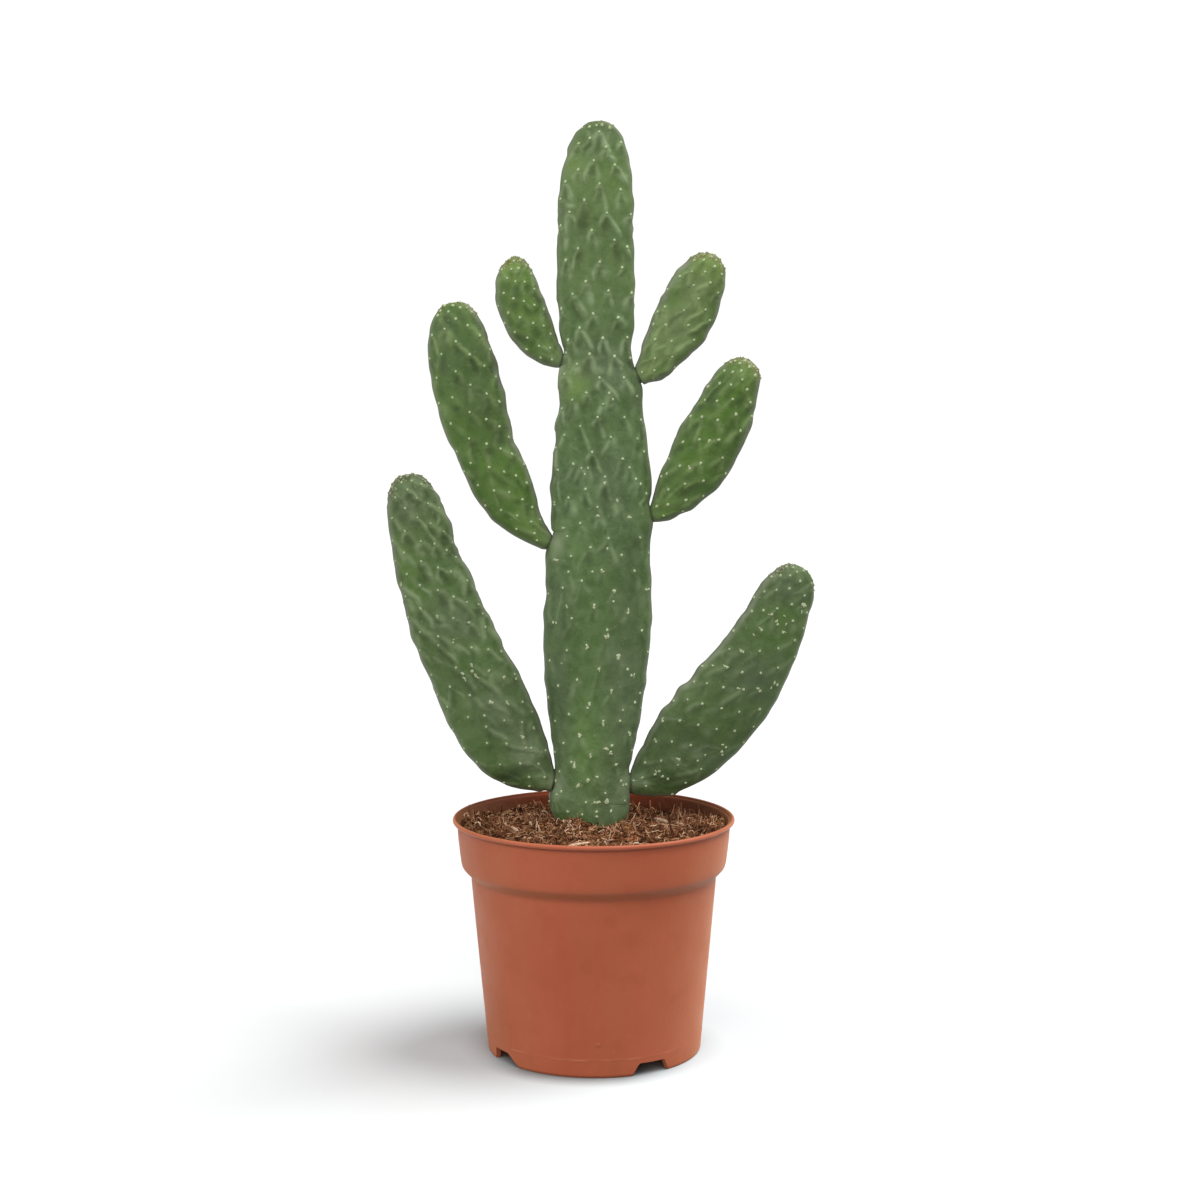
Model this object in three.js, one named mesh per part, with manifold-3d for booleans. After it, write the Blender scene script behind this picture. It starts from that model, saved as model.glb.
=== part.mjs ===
// Potted paddle cactus: a jointed, flattened green cactus with six side pads,
// rooted in potting soil in a thin injection-moulded nursery pot.
// Millimetres, +Z up. The group is set so that its origin is the middle of the
// whole object's footprint, at the pot's standing ring (z = 0).
import * as THREE from 'three';
import { mergeVertices } from 'three/addons/utils/BufferGeometryUtils.js';
import Module from 'manifold-3d';

const wasm = await Module();
wasm.setup();

// ---------------------------------------------------------------- dimensions
const GAP = 0.3;                 // clearance between pieces that touch
const POT_SIDES = 48;            // facets round the pot
const POT_WALL = 1.5;            // moulded wall
const POT_RIM_R = 84.9;          // outside radius of the rolled lip
const POT_HEIGHT = 143.7;        // standing ring to top of lip
const POT_BASE_R = 64.1;         // outside radius at the standing ring
const FLOOR_UNDER = 6.8;         // underside of the raised floor
const FLOOR_TOP = 9.0;           // inside of the raised floor
const FOOT_IN_R = 61.6;          // inside radius of the standing ring
const NOTCH_ANGLES = [-57, 33, 123, 213];  // drainage notches, degrees from the front
const NOTCH_W_LOW = 23, NOTCH_W_HIGH = 15, NOTCH_H = 6.2;
const DRAIN_HOLES = 8, DRAIN_R = 4.2, DRAIN_PCD_R = 49;

const SOIL_AT_STEM = 141.6;      // soil height against the stem
const SOIL_AT_WALL = 134.3;      // soil height against the pot wall
const SOIL_SIDES = 40;

const STEM_SIDES = 26, STEM_POWER = 2.25;
const PAD_SIDES = 18, PAD_POWER = 2.15;
const NECK_DEPTH = 7;            // how far a pad's neck is carried in before it is cut to the stem

// ---------------------------------------------------------------- small helpers
const v = (x, y, z) => new THREE.Vector3(x, y, z);

function clean(geometry) {
  const g = geometry.index ? geometry : geometry.clone();
  g.deleteAttribute('normal');
  g.deleteAttribute('uv');
  return mergeVertices(g, 1e-4);
}
function solid(geometry) {
  const g = clean(geometry);
  const make = (tri) => new wasm.Manifold(new wasm.Mesh({
    numProp: 3,
    vertProperties: new Float32Array(g.attributes.position.array),
    triVerts: new Uint32Array(tri),
  }));
  const idx = Array.from(g.index.array);
  let m = make(idx);
  if (m.volume() < 0) {
    for (let i = 0; i < idx.length; i += 3) { const t = idx[i]; idx[i] = idx[i + 1]; idx[i + 1] = t; }
    m = make(idx);
  }
  return m;
}
function geometryOf(m) {
  const mesh = m.getMesh();
  const n = mesh.vertProperties.length / mesh.numProp;
  const pos = new Float32Array(n * 3);
  for (let i = 0; i < n; i++) for (let k = 0; k < 3; k++) pos[3 * i + k] = mesh.vertProperties[mesh.numProp * i + k];
  const g = new THREE.BufferGeometry();
  g.setAttribute('position', new THREE.BufferAttribute(pos, 3));
  g.setIndex(new THREE.BufferAttribute(new Uint32Array(mesh.triVerts), 1));
  g.computeVertexNormals();
  return g;
}
// Closed skin through a stack of rings with equal point counts. A ring of one
// point is a pole; a flat end is closed with a fan.
function loft(rings) {
  const pos = [], idx = [], start = [];
  for (const r of rings) { start.push(pos.length / 3); for (const p of r) pos.push(p.x, p.y, p.z); }
  const n = Math.max(...rings.map((r) => r.length));
  for (let i = 0; i + 1 < rings.length; i++) {
    const a = start[i], b = start[i + 1], ra = rings[i].length, rb = rings[i + 1].length;
    for (let k = 0; k < n; k++) {
      const k2 = (k + 1) % n;
      if (ra === 1) idx.push(a, b + k2, b + k);
      else if (rb === 1) idx.push(a + k, a + k2, b);
      else { idx.push(a + k, a + k2, b + k2); idx.push(a + k, b + k2, b + k); }
    }
  }
  const fan = (s, ring, flip) => {
    const c = ring.reduce((q, p) => q.add(p), v(0, 0, 0)).multiplyScalar(1 / ring.length);
    const ci = pos.length / 3; pos.push(c.x, c.y, c.z);
    for (let k = 0; k < n; k++) { const k2 = (k + 1) % n; flip ? idx.push(ci, s + k2, s + k) : idx.push(ci, s + k, s + k2); }
  };
  if (rings[0].length > 1) fan(start[0], rings[0], true);
  const last = rings.length - 1;
  if (rings[last].length > 1) fan(start[last], rings[last], false);
  const g = new THREE.BufferGeometry();
  g.setAttribute('position', new THREE.Float32BufferAttribute(pos, 3));
  g.setIndex(idx);
  return g;
}
const superPoint = (angle, power) => {
  const c = Math.cos(angle), s = Math.sin(angle);
  return [Math.sign(c) * Math.abs(c) ** (2 / power), Math.sign(s) * Math.abs(s) ** (2 / power)];
};

// ---------------------------------------------------------------- main stem
// Flattened trunk: z, left edge x, right edge x, half thickness front to back.
const STEM = [
  [112.4, -6, 7, 5.5], [115, -11.5, 12.5, 10.2], [120, -17, 18.4, 14], [128, -21, 22.5, 16.2], [138, -23, 24, 17],
  [150, -23.8, 22.9, 17.2], [162, -24, 22, 17.3], [173.5, -23.3, 22.2, 17.3], [188.8, -25.6, 25.4, 17.2], [213.3, -28.3, 29.5, 17.0],
  [237.7, -29.8, 32.8, 16.7], [262, -30.2, 34.9, 16.4], [286.2, -29.1, 34.8, 16.0], [310.4, -26.6, 34.0, 15.5], [334.4, -25.4, 34.0, 15.0],
  [358.4, -24.4, 33.0, 14.5], [382.3, -22.2, 30.4, 13.9], [400.1, -20.9, 28.2, 13.4], [412, -19.6, 25.4, 13.1],
  [422.7, -18.8, 22.8, 12.9], [432.7, -19.6, 23.0, 12.9], [447.5, -20.8, 23.9, 12.9], [465.2, -21.9, 24.4, 12.8], [488.7, -21.5, 23.8, 12.6],
  [509.2, -21.0, 23.9, 12.3], [523.8, -19.4, 22.7, 11.9], [535.4, -16.9, 21.1, 11.0], [544.2, -14.0, 18.5, 9.8], [550.4, -10.6, 16.0, 8.0],
  [554.4, -6.6, 12.6, 6.0], [556.8, -2.2, 8.4, 3.4],
];
const STEM_TOP = 557.5;
function stemGeometry(grow) {
  const rings = [];
  const first = STEM[0], last = STEM[STEM.length - 1];
  rings.push([v((first[1] + first[2]) / 2, 0, 111.6 - grow)]);
  for (const [z, xl, xr, h] of STEM) {
    const cx = (xl + xr) / 2, w = (xr - xl) / 2 + grow, t = h + grow, ring = [];
    for (let k = 0; k < STEM_SIDES; k++) {
      const [c, s] = superPoint(2 * Math.PI * k / STEM_SIDES, STEM_POWER);
      ring.push(v(cx + w * c, t * s, z));
    }
    rings.push(ring);
  }
  rings.push([v((last[1] + last[2]) / 2, 0, STEM_TOP + grow)]);
  return loft(rings);
}
const stemSolid = solid(stemGeometry(0));
const stemClear = solid(stemGeometry(GAP));

// ---------------------------------------------------------------- side pads
// Each row is one cross-section from the joint to the tip: upper edge x, y, z,
// lower edge x, y, z, and half thickness.
const PADS = {
  pad_left_low: [
    [-23.8, 0.0, 171.0, -25.1, 0.0, 159.6, 6.5],
    [-25.4, -0.1, 174.7, -33.7, -0.2, 157.6, 6.9],
    [-27.6, -0.2, 184.0, -47.3, -0.6, 159.7, 7.7],
    [-30.9, -0.3, 195.0, -63.8, -1.3, 166.9, 8.7],
    [-35.6, -0.6, 208.1, -78.3, -2.5, 182.0, 9.6],
    [-42.6, -1.1, 224.1, -89.1, -3.8, 201.1, 10.0],
    [-52.5, -2.0, 241.4, -96.7, -5.4, 221.7, 9.9],
    [-61.1, -3.0, 260.6, -104.8, -7.2, 242.3, 9.6],
    [-69.9, -4.4, 279.3, -111.3, -9.1, 263.5, 9.2],
    [-77.9, -5.9, 296.8, -116.9, -11.1, 284.5, 8.9],
    [-84.5, -7.7, 313.6, -119.9, -12.9, 304.6, 8.5],
    [-89.3, -9.5, 329.5, -122.0, -14.8, 321.9, 8.2],
    [-95.9, -11.4, 342.6, -121.8, -16.0, 335.9, 7.8],
    [-104.2, -13.5, 350.0, -117.9, -16.0, 346.0, 4.2],
    [-111.7, -15.0, 349.9, -111.7, -15.0, 349.9, 0.0],
  ],
  pad_left_mid: [
    [-24.9, 0.0, 313.3, -28.7, 0.0, 304.5, 5.2],
    [-27.5, 0.1, 317.0, -35.4, 0.2, 306.8, 5.8],
    [-31.0, 0.3, 323.6, -44.4, 0.5, 311.1, 6.6],
    [-33.7, 0.4, 332.8, -54.9, 1.0, 317.8, 7.6],
    [-36.7, 0.5, 344.2, -65.0, 1.7, 327.7, 8.3],
    [-41.8, 0.8, 356.8, -73.8, 2.6, 340.7, 8.6],
    [-47.9, 1.2, 369.5, -80.9, 3.5, 356.5, 8.5],
    [-50.9, 1.6, 383.8, -88.9, 4.8, 372.5, 8.2],
    [-53.4, 2.0, 398.9, -93.4, 6.1, 389.1, 7.9],
    [-57.6, 2.7, 413.5, -97.2, 7.3, 404.6, 7.5],
    [-61.8, 3.5, 426.1, -99.2, 8.3, 420.2, 7.2],
    [-65.0, 4.4, 436.6, -98.4, 9.1, 435.2, 6.9],
    [-69.6, 5.7, 444.5, -93.5, 9.3, 446.8, 6.3],
    [-74.6, 7.0, 450.4, -86.0, 8.8, 451.8, 3.5],
    [-80.7, 8.0, 452.7, -80.7, 8.0, 452.7, 0.0],
  ],
  pad_left_top: [
    [-17.8, 0.0, 421.7, -20.1, 0.0, 413.2, 4.6],
    [-18.6, 0.2, 423.3, -24.1, 0.2, 413.6, 5.0],
    [-19.8, 0.5, 426.2, -28.9, 0.4, 414.7, 5.5],
    [-21.4, 1.0, 430.0, -34.5, 0.7, 417.4, 6.0],
    [-22.9, 1.6, 434.6, -40.6, 1.0, 421.4, 6.5],
    [-24.4, 2.4, 440.1, -46.2, 1.3, 427.0, 6.6],
    [-26.8, 3.2, 445.9, -51.2, 1.8, 433.8, 6.5],
    [-28.9, 4.2, 452.0, -54.9, 2.3, 441.8, 6.3],
    [-31.4, 5.1, 457.7, -57.7, 3.0, 450.2, 6.1],
    [-33.4, 6.0, 463.4, -58.5, 3.7, 458.8, 5.8],
    [-35.8, 6.7, 468.5, -58.1, 4.4, 466.7, 5.6],
    [-38.6, 7.2, 473.4, -55.4, 5.3, 472.5, 5.2],
    [-41.8, 7.3, 477.4, -52.6, 6.0, 476.1, 3.7],
    [-45.6, 7.3, 479.3, -50.2, 6.7, 478.3, 1.3],
    [-47.6, 7.0, 479.0, -47.6, 7.0, 479.0, 0.0],
  ],
  pad_right_top: [
    [24.5, 0.0, 413.7, 28.8, 0.0, 404.3, 5.0],
    [25.6, -0.1, 415.9, 32.2, -0.1, 404.2, 5.4],
    [26.9, -0.5, 419.0, 38.5, -0.3, 406.0, 6.0],
    [28.3, -0.9, 423.4, 45.4, -0.5, 410.1, 6.7],
    [30.0, -1.6, 429.9, 51.3, -0.7, 415.4, 7.2],
    [33.0, -2.4, 437.5, 57.6, -1.1, 421.0, 7.4],
    [35.7, -3.5, 445.0, 64.7, -1.5, 427.7, 7.3],
    [39.1, -4.7, 451.9, 69.9, -2.0, 437.1, 7.0],
    [42.8, -5.9, 459.4, 73.9, -2.7, 446.2, 6.8],
    [47.3, -7.0, 467.1, 75.8, -3.6, 454.6, 6.5],
    [52.5, -7.9, 473.1, 77.7, -4.6, 462.5, 6.3],
    [57.3, -8.6, 477.7, 77.6, -5.7, 470.4, 5.6],
    [62.6, -8.7, 480.0, 74.9, -6.9, 476.0, 3.3],
    [66.4, -8.4, 480.0, 72.1, -7.5, 478.4, 1.6],
    [69.2, -8.0, 479.6, 69.2, -8.0, 479.6, 0.0],
  ],
  pad_right_mid: [
    [34.0, 0.0, 331.4, 36.2, 0.0, 321.0, 5.4],
    [34.8, -0.2, 333.5, 42.7, -0.3, 321.8, 6.0],
    [36.2, -0.5, 338.1, 49.6, -0.8, 324.7, 6.7],
    [38.0, -0.9, 345.0, 57.4, -1.5, 328.1, 7.6],
    [41.1, -1.4, 353.1, 65.1, -2.4, 334.2, 8.4],
    [45.0, -2.1, 361.0, 74.2, -3.7, 341.7, 8.6],
    [48.1, -2.9, 370.3, 81.5, -5.2, 352.0, 8.5],
    [52.9, -3.9, 380.1, 86.7, -6.8, 362.8, 8.2],
    [59.0, -5.2, 389.1, 91.3, -8.4, 373.0, 7.9],
    [64.4, -6.6, 397.6, 94.4, -10.0, 384.3, 7.6],
    [69.5, -8.1, 405.9, 96.5, -11.5, 394.6, 7.3],
    [74.7, -9.6, 412.9, 98.1, -12.8, 403.8, 7.0],
    [80.2, -11.1, 416.9, 96.9, -13.5, 412.0, 5.3],
    [85.0, -12.3, 418.5, 92.3, -13.4, 416.4, 2.9],
    [89.6, -13.0, 418.0, 89.6, -13.0, 418.0, 0.0],
  ],
  pad_right_low: [
    [22.1, 0.0, 168.9, 22.8, 0.0, 155.9, 6.5],
    [23.8, 0.1, 173.5, 31.1, 0.2, 154.6, 7.0],
    [26.6, 0.2, 180.1, 42.6, 0.6, 154.6, 7.8],
    [31.1, 0.3, 187.9, 54.0, 1.3, 158.0, 8.7],
    [36.6, 0.4, 198.7, 68.9, 2.3, 165.4, 9.6],
    [45.2, 0.6, 210.7, 82.2, 3.5, 176.1, 10.0],
    [55.2, 1.1, 223.1, 94.7, 5.0, 189.3, 9.9],
    [65.6, 1.7, 235.4, 106.5, 6.6, 204.5, 9.6],
    [76.7, 2.7, 247.0, 115.5, 8.0, 221.9, 9.3],
    [86.0, 3.8, 259.3, 123.4, 9.5, 239.2, 8.9],
    [94.2, 5.1, 271.5, 128.9, 10.8, 255.3, 8.6],
    [101.6, 6.4, 283.5, 132.4, 12.0, 269.2, 8.3],
    [110.7, 8.0, 291.9, 133.4, 12.5, 280.7, 7.2],
    [119.4, 9.8, 295.1, 130.4, 12.1, 289.3, 2.9],
    [125.4, 11.0, 292.9, 125.4, 11.0, 292.9, 0.0],
  ],
};
function padSolid(rows) {
  const A = rows.map((r) => v(r[0], r[1], r[2])), B = rows.map((r) => v(r[3], r[4], r[5]));
  const mid = A.map((a, i) => a.clone().add(B[i]).multiplyScalar(0.5));
  // carry the neck into the stem, so that the cut end follows the stem's side
  const back = mid[0].clone().sub(mid[1]).setY(0).normalize().multiplyScalar(NECK_DEPTH);
  const sections = [[mid[0].clone().add(back), A[0].clone().sub(mid[0]), rows[0][6]]];
  rows.forEach((r, i) => sections.push([mid[i], A[i].clone().sub(mid[i]), r[6]]));
  const rings = sections.map(([c, u, h], i) => {
    if (u.length() < 1e-3) return [c.clone()];
    const p = sections[Math.max(i - 1, 0)][0], q = sections[Math.min(i + 1, sections.length - 1)][0];
    const along = q.clone().sub(p).normalize();
    const n = along.clone().cross(u).normalize();
    const ring = [];
    for (let k = 0; k < PAD_SIDES; k++) {
      const [cc, ss] = superPoint(2 * Math.PI * k / PAD_SIDES, PAD_POWER);
      ring.push(c.clone().addScaledVector(u, cc).addScaledVector(n, h * ss));
    }
    return ring;
  });
  return solid(loft(rings)).subtract(stemClear);
}

// ---------------------------------------------------------------- root system
// A short tap root under the stem with side roots that turn down the pot.
function tube(points, radii, sides, grow, ref) {
  const curve = new THREE.CatmullRomCurve3(points);
  const n = radii.length, rings = [];
  for (let i = 0; i < n; i++) {
    const t = i / (n - 1), c = curve.getPoint(t), d = curve.getTangent(t).normalize();
    c.addScaledVector(d, i === 0 ? -grow : i === n - 1 ? grow : 0);
    const a = ref.clone().cross(d).normalize(), b = d.clone().cross(a).normalize();
    const ring = [];
    for (let k = 0; k < sides; k++) {
      const q = 2 * Math.PI * k / sides, r = radii[i] + grow * 1.25;
      ring.push(c.clone().addScaledVector(a, r * Math.cos(q)).addScaledVector(b, r * Math.sin(q)));
    }
    rings.push(ring);
  }
  return loft(rings);
}
const ROOTS = [   // direction (degrees), start height, reach, end height, thickness at the crown
  [12, 106, 55, 62, 3.2], [70, 100, 48, 38, 2.6], [128, 107, 57, 70, 3.0], [189, 103, 52, 46, 2.8],
  [246, 98, 46, 30, 2.4], [305, 106, 56, 66, 3.0],
];
function rootSolid(grow) {
  let m = solid(tube([v(0, 0, 119), v(0.6, 0, 100), v(-1.5, 1, 78), v(1.5, -1.5, 55), v(3, 0, 30)],
    [8.6, 9.4, 7.4, 5.2, 3.6, 2.4, 1.4], 10, grow, v(1, 0, 0)));
  for (const [deg, z0, reach, z1, r0] of ROOTS) {
    const a = deg * Math.PI / 180, dx = Math.cos(a), dy = Math.sin(a), e = reach;
    const pts = [v(dx * 2, dy * 2, z0), v(dx * e * 0.4, dy * e * 0.4, z0 - 6), v(dx * e * 0.8 - dy * 5, dy * e * 0.8 + dx * 5, z0 - 14),
      v(dx * e, dy * e, z1)];
    m = m.add(solid(tube(pts, [1, 0.86, 0.72, 0.6, 0.47, 0.36, 0.26].map((q) => r0 * q), 7, grow, v(-dy, dx, 0))));
  }
  return m;
}
const rootPiece = rootSolid(0).subtract(stemClear);

// ---------------------------------------------------------------- pot
// Outside and inside of the wall from the floor's middle, round the lip and
// back, as radius and height.
const POT_PROFILE = [
  [0, FLOOR_UNDER], [60.4, FLOOR_UNDER], [61.3, 6.0], [FOOT_IN_R, 0], [POT_BASE_R, 0],
  [66.6, 25.5], [68.95, 50.6], [71.1, 75.5], [73.5, 101.5], [73.9, 104.8], [74.6, 106.6], [76.5, 108.6], [78.3, 110.3],
  [79.1, 112.0], [79.9, 116], [81.0, 124.7], [82.0, 134.8], [82.6, 136.9], [84.0, 138.6], [84.8, 140.1], [POT_RIM_R, 141.2],
  [84.4, 142.7], [83.3, 143.5], [82.2, POT_HEIGHT], [81.1, 143.3], [80.5, 142.3], [80.4, 136.0],
  [79.4, 124.7], [77.8, 112.6], [77.0, 111.0], [75.0, 109.0], [73.0, 107.2], [72.3, 105.2], [69.6, 75.5], [65.1, 25.5],
  [63.7, 10.6], [62.8, FLOOR_TOP], [0, FLOOR_TOP],
];
const lathe = (profile, sides) => {
  const g = new THREE.LatheGeometry(profile.map(([r, z]) => new THREE.Vector2(r, z)), sides);
  g.rotateX(Math.PI / 2);
  return g;
};
let pot = solid(lathe(POT_PROFILE, POT_SIDES));
for (const deg of NOTCH_ANGLES) {
  const s = new THREE.Shape();
  const lo = NOTCH_W_LOW / 2, hi = NOTCH_W_HIGH / 2, c = 1.2;
  s.moveTo(-lo - 1, -2); s.lineTo(lo + 1, -2); s.lineTo(lo, 0); s.lineTo(hi + 0.9, NOTCH_H - c); s.lineTo(hi - 0.4, NOTCH_H);
  s.lineTo(-hi + 0.4, NOTCH_H); s.lineTo(-hi - 0.9, NOTCH_H - c); s.lineTo(-lo, 0); s.closePath();
  const g = new THREE.ExtrudeGeometry(s, { depth: 16, bevelEnabled: false });
  g.rotateX(Math.PI / 2);                 // outline upright, pushed towards -Y
  g.translate(0, -56, 0);
  g.rotateZ(deg * Math.PI / 180);
  pot = pot.subtract(solid(g));
}
for (let i = 0; i < DRAIN_HOLES; i++) {
  const a = (i + 0.25) * 2 * Math.PI / DRAIN_HOLES;
  const g = new THREE.CylinderGeometry(DRAIN_R, DRAIN_R, 8, 12);
  g.rotateX(Math.PI / 2);
  g.translate(DRAIN_PCD_R * Math.cos(a), DRAIN_PCD_R * Math.sin(a), (FLOOR_UNDER + FLOOR_TOP) / 2);
  pot = pot.subtract(solid(g));
}

// ---------------------------------------------------------------- potting soil
// A root ball of loose peat and coir: it fills the pot, mounds against the stem
// and falls towards the wall.
const bump = (x, y) => 0.55 * Math.sin(x * 0.31 + 1.3) * Math.cos(y * 0.27 - 0.4) + 0.4 * Math.sin(x * 0.13 - y * 0.19)
  - 3.4 * Math.exp(-(((x - 36) / 10) ** 2) - (((y - 26) / 16) ** 2));
const soilTop = (x, y) => {
  const r = Math.hypot(x, y), t = Math.min(Math.max((r - 22) / (78.5 - 22), 0), 1);
  return SOIL_AT_STEM + (SOIL_AT_WALL - SOIL_AT_STEM) * (t ** 0.8) + bump(x, y) * Math.min(r / 20, 1);
};
function soilGeometry() {
  const inner = [[0, FLOOR_TOP + GAP], [62.4, FLOOR_TOP + GAP], [63.2, 10.9], [64.7, 25.5], [69.2, 75.5], [71.9, 105.2], [72.6, 107.6], [74.7, 109.6],
    [76.7, 111.6], [77.4, 112.9], [79.0, 124.7]];
  const rings = [];
  const circle = (r, z) => Array.from({ length: SOIL_SIDES }, (_, k) => {
    const a = 2 * Math.PI * k / SOIL_SIDES; return v(r * Math.cos(a), r * Math.sin(a), z);
  });
  rings.push([v(0, 0, inner[0][1])]);
  inner.slice(1).forEach(([r, z]) => rings.push(circle(r, z)));
  for (const r of [79.3, 72, 62, 51, 40, 31, 24, 14]) {
    rings.push(circle(r, 0).map((p) => { p.z = soilTop(p.x, p.y) - (r > 79 ? 0.5 : 0); return p; }));
  }
  rings.push([v(0, 0, soilTop(0, 0))]);
  return loft(rings);
}

// ---------------------------------------------------------------- wood slivers
// Flat splinters lying on the soil: centre x, y, direction, length, width, thickness, tilt.
const SLIVERS = {
  wood_sliver_right: [41.5, 3.5, -72, 22, 3.4, 1.6, 5],
  wood_sliver_front: [-8, -58, 14, 13, 3.0, 1.5, -3],
  wood_sliver_left: [-47, -18, 105, 15, 2.2, 1.3, 4],
  bark_chip_left: [-55, 38, 35, 9.5, 5.6, 2.2, 3],
};
function sliverSolid([x, y, dir, len, w, t, tilt], grow) {
  const a = dir * Math.PI / 180, d = v(Math.cos(a), Math.sin(a), 0), side = v(-d.y, d.x, 0);
  const rise = Math.tan(tilt * Math.PI / 180), z0 = soilTop(x, y) + 0.35 * t;
  const rings = [];
  const st = [[-0.5, 0.25, 0.4], [-0.36, 0.75, 0.85], [-0.1, 1, 1], [0.2, 0.85, 0.95], [0.4, 0.5, 0.7], [0.5, 0.14, 0.3]];
  st.forEach(([s, kw, kt]) => {
    const ring = [], slope = (soilTop(x + d.x * s * len, y + d.y * s * len) - soilTop(x, y)) * 0.7;
    const ext = Math.sign(s) * (Math.abs(s) > 0.45 ? grow : 0);
    for (let k = 0; k < 6; k++) {
      const q = 2 * Math.PI * k / 6;
      ring.push(v(x, y, z0 + slope + rise * s * len).addScaledVector(d, s * len + ext)
        .addScaledVector(side, (w / 2 * kw + grow) * Math.cos(q) + 0.35 * Math.sin(5 * s)).add(v(0, 0, (t / 2 * kt + grow) * Math.sin(q))));
    }
    rings.push(ring);
  });
  return solid(loft(rings));
}

let soil = solid(soilGeometry()).subtract(stemClear).subtract(rootSolid(GAP));
for (const k of Object.keys(SLIVERS)) soil = soil.subtract(sliverSolid(SLIVERS[k], GAP + 0.05));
// loose crumbs cut off by the cavities are not kept
soil = soil.decompose().sort((a, b) => b.volume() - a.volume())[0];

// ---------------------------------------------------------------- assembly
const material = (hex, roughness) => new THREE.MeshStandardMaterial({ color: hex, roughness, metalness: 0 });
const group = new THREE.Group();
const place = (name, m, mat) => {
  const mesh = new THREE.Mesh(geometryOf(m), mat);
  mesh.name = name;
  group.add(mesh);
};
place('pot', pot, material(0xa85a40, 0.45));
place('potting_soil', soil, material(0x5a3f2c, 0.95));
place('root_system', rootPiece, material(0xb89a70, 0.8));
place('main_stem', stemSolid, material(0x4c6d43, 0.6));
const greens = { pad_left_low: 0x4a6b40, pad_left_mid: 0x4f7340, pad_left_top: 0x56783f, pad_right_top: 0x55773f, pad_right_mid: 0x507440, pad_right_low: 0x47693d };
for (const name of Object.keys(PADS)) place(name, padSolid(PADS[name]), material(greens[name], 0.6));
for (const name of Object.keys(SLIVERS)) place(name, sliverSolid(SLIVERS[name], 0), material(name.startsWith('bark') ? 0x6b4a33 : 0xcdb089, 0.85));

// origin: middle of the footprint, at the standing ring
group.updateMatrixWorld(true);
const box = new THREE.Box3().setFromObject(group, true);
group.position.set(-(box.min.x + box.max.x) / 2, -(box.min.y + box.max.y) / 2, -box.min.z);

export default group;
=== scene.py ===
import math

import bmesh
import bpy
import numpy as np
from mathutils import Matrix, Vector, geometry


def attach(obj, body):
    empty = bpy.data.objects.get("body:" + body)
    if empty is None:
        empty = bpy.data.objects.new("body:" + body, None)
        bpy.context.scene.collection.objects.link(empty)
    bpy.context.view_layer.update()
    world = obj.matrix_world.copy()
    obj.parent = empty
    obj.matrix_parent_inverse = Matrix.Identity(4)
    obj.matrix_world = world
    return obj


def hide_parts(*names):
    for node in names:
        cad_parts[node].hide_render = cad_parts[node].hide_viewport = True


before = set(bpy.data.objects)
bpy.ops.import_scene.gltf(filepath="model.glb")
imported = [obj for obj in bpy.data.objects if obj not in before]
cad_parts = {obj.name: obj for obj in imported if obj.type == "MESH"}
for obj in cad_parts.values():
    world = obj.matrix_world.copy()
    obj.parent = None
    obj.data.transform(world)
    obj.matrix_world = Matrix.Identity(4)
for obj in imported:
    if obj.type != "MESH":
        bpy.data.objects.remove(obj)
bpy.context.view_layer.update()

# Studio light: strength of the surroundings, and wide soft lamps
# (name, compass angle from the front towards the right, height angle, strength, apparent width, colour).
WORLD = 0.22
LIGHTS = [
    ("key_right", 96, 58, 2.65, 46, (1, 1, 1)),
    ("side_left", -72, 14, 1.35, 50, (1, 1, 1)),
    ("front", 8, 36, 1.35, 60, (1, 1, 1)),
]

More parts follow.
